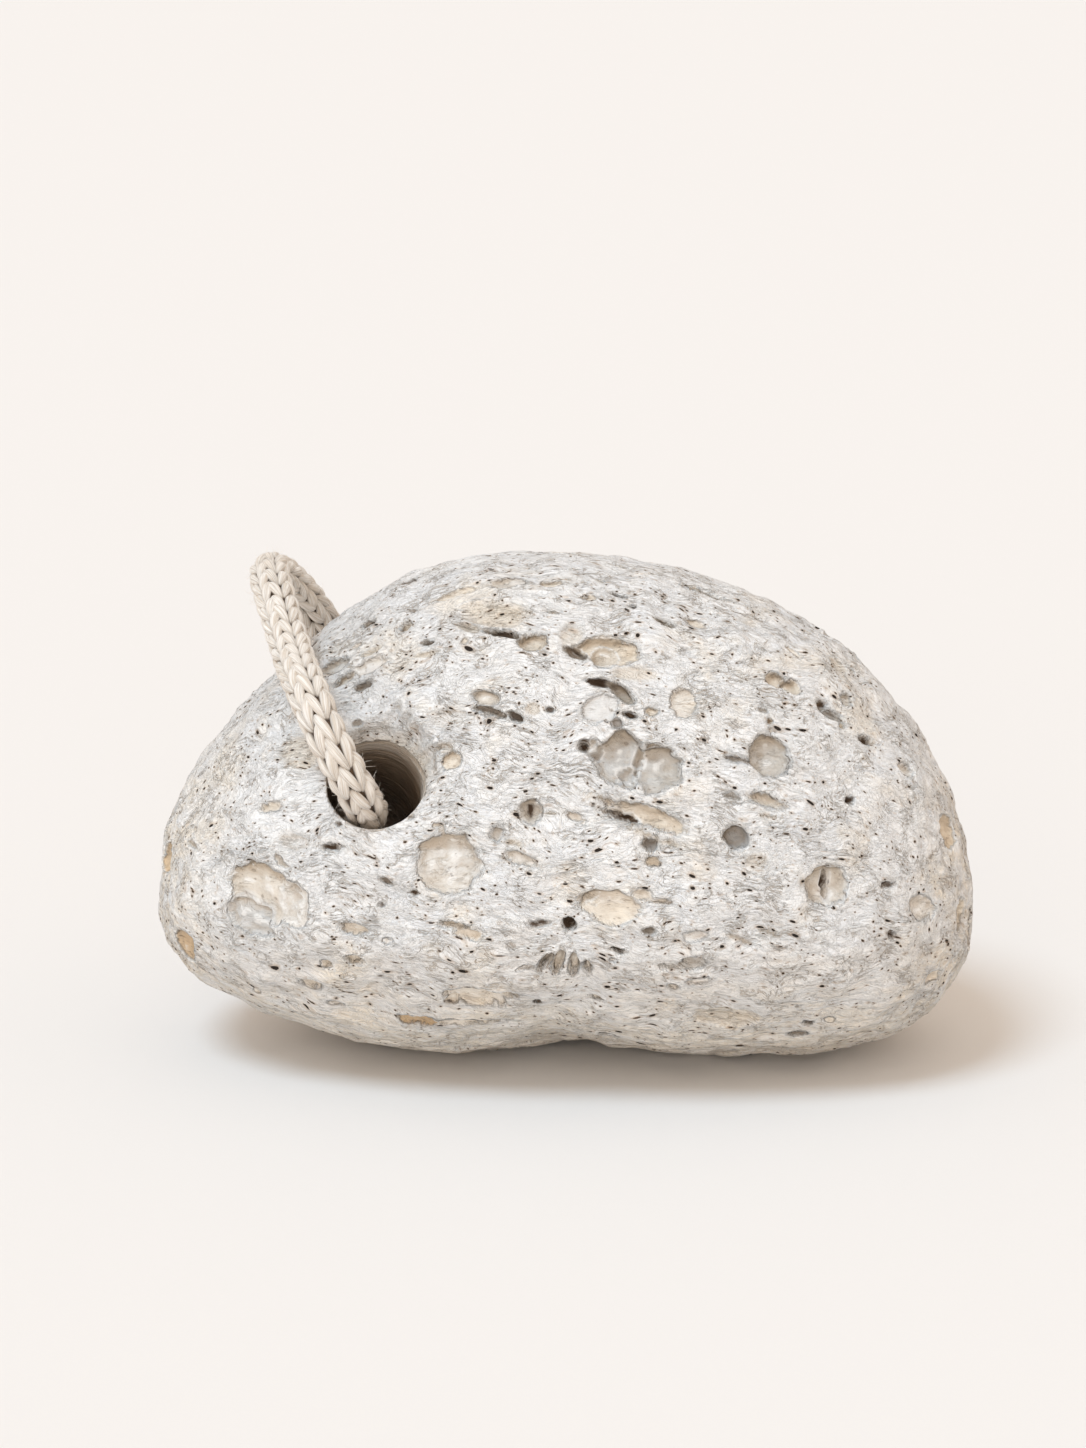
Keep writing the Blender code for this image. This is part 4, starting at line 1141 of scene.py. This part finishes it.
def rock_fields(nodes):
    """What the pumice's colour and relief both read."""
    rock = SimpleNamespace()
    rock.at = nodes.millimetres()
    rock.height_mm = nodes.axis(rock.at, 2)
    for name in ("grey", "beige", "dark", "bore", "crease", "soft", "under"):
        setattr(rock, name, nodes.read(name))

    # The flow wanders, and the grain is drawn out along it.
    flow = nodes.map(rock.at, turn=(0.0, -FLOW_DIP, 0.0))
    wander = nodes.vector("SUBTRACT", nodes.noise(flow, 8.0, 2.0, output=1), (0.5, 0.5, 0.5))
    rock.bent = bent = nodes.vector("ADD", flow, nodes.vector("MULTIPLY", wander, (5.0, 5.0, 5.0)))
    rock.drawn = drawn = nodes.map(bent, scale=DRAWN)

    # The pits' edges, which are more ragged than the mesh has them.
    wobble = nodes.times(nodes.add(nodes.noise(bent, 1.0, 3.0, 0.6), -0.5), 0.9)
    sway = nodes.noise(nodes.map(bent, place=(5.0, 9.0, 2.0)), 3.0, 2.0)
    wobble = nodes.add(wobble, nodes.times(nodes.add(sway, -0.5), 1.1))
    rock.pit = nodes.add(nodes.read("pit"), wobble)
    rock.deep = nodes.add(nodes.read("deep"), wobble)
    rock.inside = nodes.ease(rock.pit, 0.12, -0.24, 0.0, 1.0)

    # Thin walls between burst bubbles, furrows and ridges along the flow, and the base's layers.
    rock.torn = nodes.ease(nodes.noise(bent, TORN_MM, 3.0, 0.6), 0.40, 0.60)
    edge = nodes.cells(nodes.map(bent, scale=(0.38, 0.75, 0.75)), "DISTANCE_TO_EDGE")
    rock.walls = nodes.ease(edge, 0.0, 0.09, 1.0, 0.0)
    edge = nodes.cells(nodes.map(drawn, scale=(1.3, 1.5, 1.5)), "DISTANCE_TO_EDGE")
    rock.fine_walls = nodes.ease(edge, 0.0, 0.14, 1.0, 0.0)
    rock.fibre = nodes.noise(drawn, FIBRE_MM, 5.0, 0.68, 1.2)
    line = nodes.add(nodes.noise(drawn, FURROW_MM, 4.0, 0.60, 1.2), -0.5)
    line = nodes.ease(nodes.math("ABSOLUTE", line), 0.0, 0.035, 1.0, 0.0)
    rock.furrow = nodes.times(line, nodes.ease(rock.torn, 0.4, 1.0))
    hair = nodes.noise(nodes.map(drawn, place=(3.0, 17.0, 6.0)), RIDGE_MM, 3.0, 0.55, 1.5)
    hair = nodes.math("ABSOLUTE", nodes.add(hair, -0.5))
    rock.ridge = nodes.ease(hair, 0.0, 0.05, 1.0, 0.0)
    rock.layers = nodes.noise(nodes.map(bent, scale=(0.10, 0.30, 0.85)), 1.0, 4.0, 0.62, 0.4)

    # The rings that the drill left in the hole.
    rock.behind_mm = nodes.vector("DOT_PRODUCT", rock.at, tuple(hole_axis()), output=1)
    turned = nodes.join(nodes.times(rock.behind_mm, TURNING_PACE), 0.0, 0.0)
    turned = nodes.vector("ADD", turned, nodes.map(rock.at, scale=(0.12, 0.12, 0.12)))
    rock.rings = nodes.ease(nodes.noise(turned, 1.0, 3.0, 0.6), 0.36, 0.60)
    return rock


def cloud_colour(nodes, rock):
    """Clouds of white and bluish grey, with beige in patches, low down and at the ends."""
    bent, drawn = rock.bent, rock.drawn
    cloud = nodes.ease(nodes.noise(bent, CLOUD_MM, 5.0, 0.62), 0.42, 0.60)
    colour = nodes.mix(cloud, PUMICE_WHITE, PUMICE_BLUISH)
    mottle = nodes.ease(nodes.noise(drawn, 1.3, 5.0, 0.7, 0.6), 0.38, 0.62)
    colour = nodes.mix(nodes.times(mottle, 0.6), colour, PUMICE_CHALK)
    patch = nodes.noise(nodes.map(bent, place=(31.0, 7.0, 3.0)), PATCH_MM, 5.0, 0.6)
    patch = nodes.ease(patch, 0.52, 0.68)
    broken = nodes.ease(nodes.noise(drawn, 2.4, 4.0, 0.6, 0.3), 0.36, 0.62)
    low = nodes.ease(rock.height_mm, 4.0, 26.0, 1.0, 0.0)
    low = nodes.times(low, nodes.add(nodes.times(broken, 0.6), 0.25))
    across_mm = nodes.math("ABSOLUTE", nodes.axis(rock.at, 0))
    ends = nodes.times(nodes.ease(across_mm, 40.0, 52.0), broken)
    warm = nodes.add(nodes.times(patch, 0.7), nodes.times(low, 1.3), nodes.times(ends, 0.9))
    colour = nodes.mix(nodes.math("MINIMUM", warm, 1.0), colour, PUMICE_BEIGE)
    base = nodes.ease(rock.height_mm, 1.0, 12.0, 0.85, 0.0)
    base = nodes.times(base, nodes.ease(rock.layers, 0.35, 0.65, 0.45, 1.0))
    return nodes.mix(base, colour, PUMICE_TAN)


def grain_colour(nodes, rock, colour):
    """The rock's fibres, walls, furrows and ridges."""
    shade = nodes.ease(rock.fibre, 0.30, 0.50, 1.0, 0.0)
    light = nodes.ease(rock.fibre, 0.52, 0.68)
    walls = nodes.times(nodes.add(rock.walls, rock.fine_walls), rock.torn, WALL_SHARE)
    colour = nodes.mix(nodes.times(shade, SHADE_SHARE), colour, PUMICE_SHADE)
    colour = nodes.mix(nodes.times(light, LIGHT_SHARE), colour, PUMICE_RIM_AND_PAINTED_HIGHLIGHT)
    colour = nodes.mix(walls, colour, PUMICE_RIM_AND_PAINTED_HIGHLIGHT)
    colour = nodes.mix(nodes.times(rock.furrow, FURROW_SHARE), colour, PUMICE_FURROW)
    return nodes.mix(nodes.times(rock.ridge, RIDGE_SHARE), colour, PUMICE_RIM_AND_PAINTED_HIGHLIGHT)


def pit_colour(nodes, rock, colour):
    """The floors of the pits, their rims and walls, and the wall of the drilled hole, with painted
    shade, shadow and highlight.
    """
    inside = rock.inside
    grain = nodes.ease(nodes.noise(rock.bent, 1.2, 4.0, 0.6, 0.5), 0.2, 0.8)
    grey = nodes.mix(grain, PIT_GREY, PIT_GREY_LIGHT)
    colour = nodes.mix(nodes.times(inside, rock.grey, 0.9), colour, grey)
    tan = nodes.mix(grain, PIT_BEIGE, PIT_BEIGE_LIGHT)
    tan = nodes.mix(nodes.ease(rock.beige, 0.86, 0.98, 0.0, 0.95), tan, PIT_OCHRE)
    tanned = nodes.math("MAXIMUM", nodes.times(inside, rock.beige), nodes.times(rock.soft, 0.9))
    colour = nodes.mix(nodes.times(tanned, 0.9), colour, tan)

    wall = nodes.mix(rock.rings, BORE_COLOUR, BORE_LIGHT)
    mouth_mm = Vector(MOUTH).dot(hole_axis()) / MM
    first, last = (mouth_mm + past for past in BORE_DARKENS_MM)
    # Painted shade: the wall darkens to brown the deeper it lies in the hole.
    wall = nodes.mix(nodes.ease(rock.behind_mm, first, last, 0.0, 0.92), wall, BORE_PAINTED_SHADE)
    colour = nodes.mix(nodes.times(rock.bore, 0.9), colour, wall)

    # A pale lip round each pit: the rock's pale rim with a painted highlight along it.
    lip = nodes.ease(nodes.math("ABSOLUTE", nodes.add(rock.pit, -0.16)), 0.0, 0.30, 1.0, 0.0)
    lip = nodes.times(lip, nodes.add(nodes.times(rock.torn, 0.5), 0.2))
    colour = nodes.mix(lip, colour, PUMICE_RIM_AND_PAINTED_HIGHLIGHT)
    # Painted shade under the upper edge inside the pits.
    colour = nodes.mix(nodes.times(rock.under, inside, 0.70), colour, PUMICE_PAINTED_SHADE)
    # A painted shadow line along that upper edge inside the pits.
    ledge_shadow = nodes.times(rock.under, inside, nodes.ease(rock.pit, -0.55, -0.10))
    colour = nodes.mix(nodes.times(ledge_shadow, 0.75), colour, PAINTED_LEDGE_SHADOW)
    # Painted shade in creases.
    colour = nodes.mix(nodes.ease(rock.crease, 0.25, 1.0, 0.0, 0.32), colour, PUMICE_PAINTED_SHADE)
    # A painted highlight on sharp rims.
    colour = nodes.mix(nodes.ease(rock.crease, -0.12, -0.8, 0.0, 0.6), colour, PUMICE_RIM_AND_PAINTED_HIGHLIGHT)
    # Painted shadow on the floors of the dark, deep pits.
    shadow = nodes.times(nodes.ease(rock.deep, 0.05, -0.30), nodes.ease(rock.dark, 0.0, 0.8))
    return nodes.mix(shadow, colour, SPECK_AND_SHADOW_BROWN)


def speck_colour(nodes, rock, colour):
    """Pinholes and slits, each with a rusty stain: the colour, and how deep they go."""
    crowd = nodes.ease(nodes.noise(rock.bent, 5.0, 3.0), 0.38, 0.62, 0.25, 1.0)
    covered = nodes.math("MAXIMUM", rock.bore, nodes.times(rock.inside, 0.7))
    open_rock = nodes.add(1.0, nodes.times(covered, -1.0))
    holes = 0.0
    for cell_mm, stretch, radius, share, deep_mm in SPECK_LAYERS:
        some = nodes.times(crowd, share)
        core, stain = speck_layer(nodes, rock.bent, cell_mm, stretch, radius, some, cell_mm * 7)
        core, stain = nodes.times(core, open_rock), nodes.times(stain, open_rock)
        colour = nodes.mix(nodes.times(stain, STAIN_SHARE), colour, SPECK_STAIN)
        colour = nodes.mix(core, colour, SPECK_AND_SHADOW_BROWN if deep_mm < 0.15 else SPECK_BLACK)
        holes = nodes.add(nodes.times(core, -deep_mm), holes)
    return colour, holes


def rock_relief(nodes, rock, holes):
    """The height in mm of the finest relief, which is calmer in the pits and in the hole."""
    lumps = nodes.times(nodes.noise(rock.bent, 1.6, 4.0, 0.6), LUMP_HEIGHT)
    fibres = nodes.times(rock.fibre, FIBRE_HEIGHT)
    walls = nodes.times(rock.walls, WALL_HEIGHT)
    ribs = nodes.times(nodes.add(walls, nodes.times(rock.fine_walls, FINE_WALL_HEIGHT)), rock.torn)
    grooves = nodes.times(rock.furrow, FURROW_HEIGHT)
    ridges = nodes.times(rock.ridge, RIDGE_HEIGHT)
    strata = nodes.ease(rock.height_mm, 4.0, 30.0, STRATA_LOW, STRATA_HIGH)
    strata = nodes.times(rock.layers, strata)
    relief = nodes.add(lumps, fibres, ribs, grooves, ridges, strata)
    covered = nodes.math("MAXIMUM", nodes.times(rock.inside, 0.9), rock.bore)
    calm = nodes.add(1.0, nodes.times(covered, -0.75))
    sand = nodes.times(nodes.noise(rock.at, 0.18, 2.0), SAND_HEIGHT)
    step = nodes.ease(rock.pit, 0.30, -0.50, 0.0, PIT_STEP)
    turnings = nodes.times(rock.rings, rock.bore, TURNING_HEIGHT)
    return nodes.add(nodes.times(relief, calm), sand, step, holes, turnings)


def pumice_material():
    nodes = Nodes("pumice")
    rock = rock_fields(nodes)
    colour = grain_colour(nodes, rock, cloud_colour(nodes, rock))
    colour, holes = speck_colour(nodes, rock, pit_colour(nodes, rock, colour))
    relief = rock_relief(nodes, rock, holes)
    return nodes.finish(colour, PUMICE_ROUGHNESS, relief, PUMICE_SPECULAR)


def cotton_material():
    nodes = Nodes("knitted cotton")
    crest, tone, along = nodes.read("crest"), nodes.read("tone"), nodes.read("along")
    cosine, sine = nodes.read("cosine"), nodes.read("sine")
    strand = nodes.map(nodes.join(cosine, sine, nodes.times(along, 0.55)), scale=(3.2, 3.2, 1.6))
    strand = nodes.vector("ADD", strand, nodes.join(nodes.times(tone, 37.0), tone, 0.0))
    fibre = nodes.noise(strand, 1.0, 3.0, 0.65, 0.3)
    at = nodes.millimetres()
    cloud = nodes.noise(at, 4.0, 3.0)
    colour = nodes.mix(nodes.ease(fibre, 0.38, 0.60), COTTON_SHADE, COTTON_LIGHT)
    # Painted shade: the cord darkens inside the hole.
    colour = nodes.mix(nodes.times(nodes.read("hole_shade"), 0.75), colour, COTTON_HOLE_SHADE)
    colour = nodes.mix(nodes.times(nodes.ease(cloud, 0.4, 0.7), 0.25), colour, COTTON_WARM)
    colour = nodes.mix(nodes.ease(tone, 0.0, 1.0, 0.0, 0.12), colour, COTTON_WARM)
    # Painted shade: the lower a point lies on its leg, the darker, down to brown in the gaps and on
    # the core.
    colour = nodes.mix(nodes.ease(crest, 0.30, 0.80, 0.55, 0.0), colour, COTTON_SHADE)
    colour = nodes.mix(nodes.ease(crest, 0.10, 0.58, 0.95, 0.0), colour, COTTON_PAINTED_GAP_SHADE)
    height = nodes.add(nodes.times(fibre, 0.32), nodes.times(nodes.noise(at, 0.12, 2.0), 0.03))
    nodes.shader.inputs["Sheen Weight"].default_value = 0.25
    nodes.shader.inputs["Sheen Roughness"].default_value = 0.5
    return nodes.finish(colour, 0.95, height, 0.15)


def floor_material():
    nodes = Nodes("floor")
    paper = nodes.noise(nodes.millimetres(), 0.5, 3.0)
    colour = nodes.mix(paper, FLOOR_COLOUR, FLOOR_COLOUR_LIGHT)
    return nodes.finish(colour, 0.9, nodes.times(paper, 0.01), 0.2)


def fuzz_material():
    nodes = Nodes("cotton fuzz")
    tint = nodes.noise(nodes.millimetres(), 1.0, 2.0)
    colour = nodes.mix(tint, COTTON_LIGHT, COTTON_WARM)
    return nodes.finish(colour, 0.9, nodes.times(tint, 0.01), 0.2)


def make_floor():
    bpy.ops.mesh.primitive_plane_add(size=FLOOR_SIZE, location=(0.0, 0.0, -FLOOR_DROP))
    floor = bpy.context.object
    floor.name = "floor"
    floor.data.materials.append(floor_material())


def make_sun(name, energy, spread, colour, aim):
    sun = bpy.data.objects.new(name, bpy.data.lights.new(name, "SUN"))
    bpy.context.scene.collection.objects.link(sun)
    sun.data.energy = energy
    sun.data.angle = math.radians(spread)
    sun.data.color = colour
    sun.rotation_mode = "QUATERNION"
    sun.rotation_quaternion = Vector(aim).to_track_quat("-Z", "Y")


def make_light():
    world = bpy.data.worlds.new("studio")
    world.use_nodes = True
    background = world.node_tree.nodes["Background"]
    background.inputs["Color"].default_value = WORLD_COLOUR
    background.inputs["Strength"].default_value = WORLD_STRENGTH
    bpy.context.scene.world = world
    for sun in SUNS:
        make_sun(*sun)


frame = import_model()
bpy.context.scene.view_settings.view_transform = "Standard"
make_camera()
path = CordPath(smooth_route())
cord = make_cord(path, cotton_material())
fuzz = make_fuzz(path, fuzz_material())
stone = make_stone(pumice_material())
for piece in (stone, cord, fuzz):
    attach(piece, "root")
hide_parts("pumice_stone")
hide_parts("cord_loop")
make_floor()
make_light()
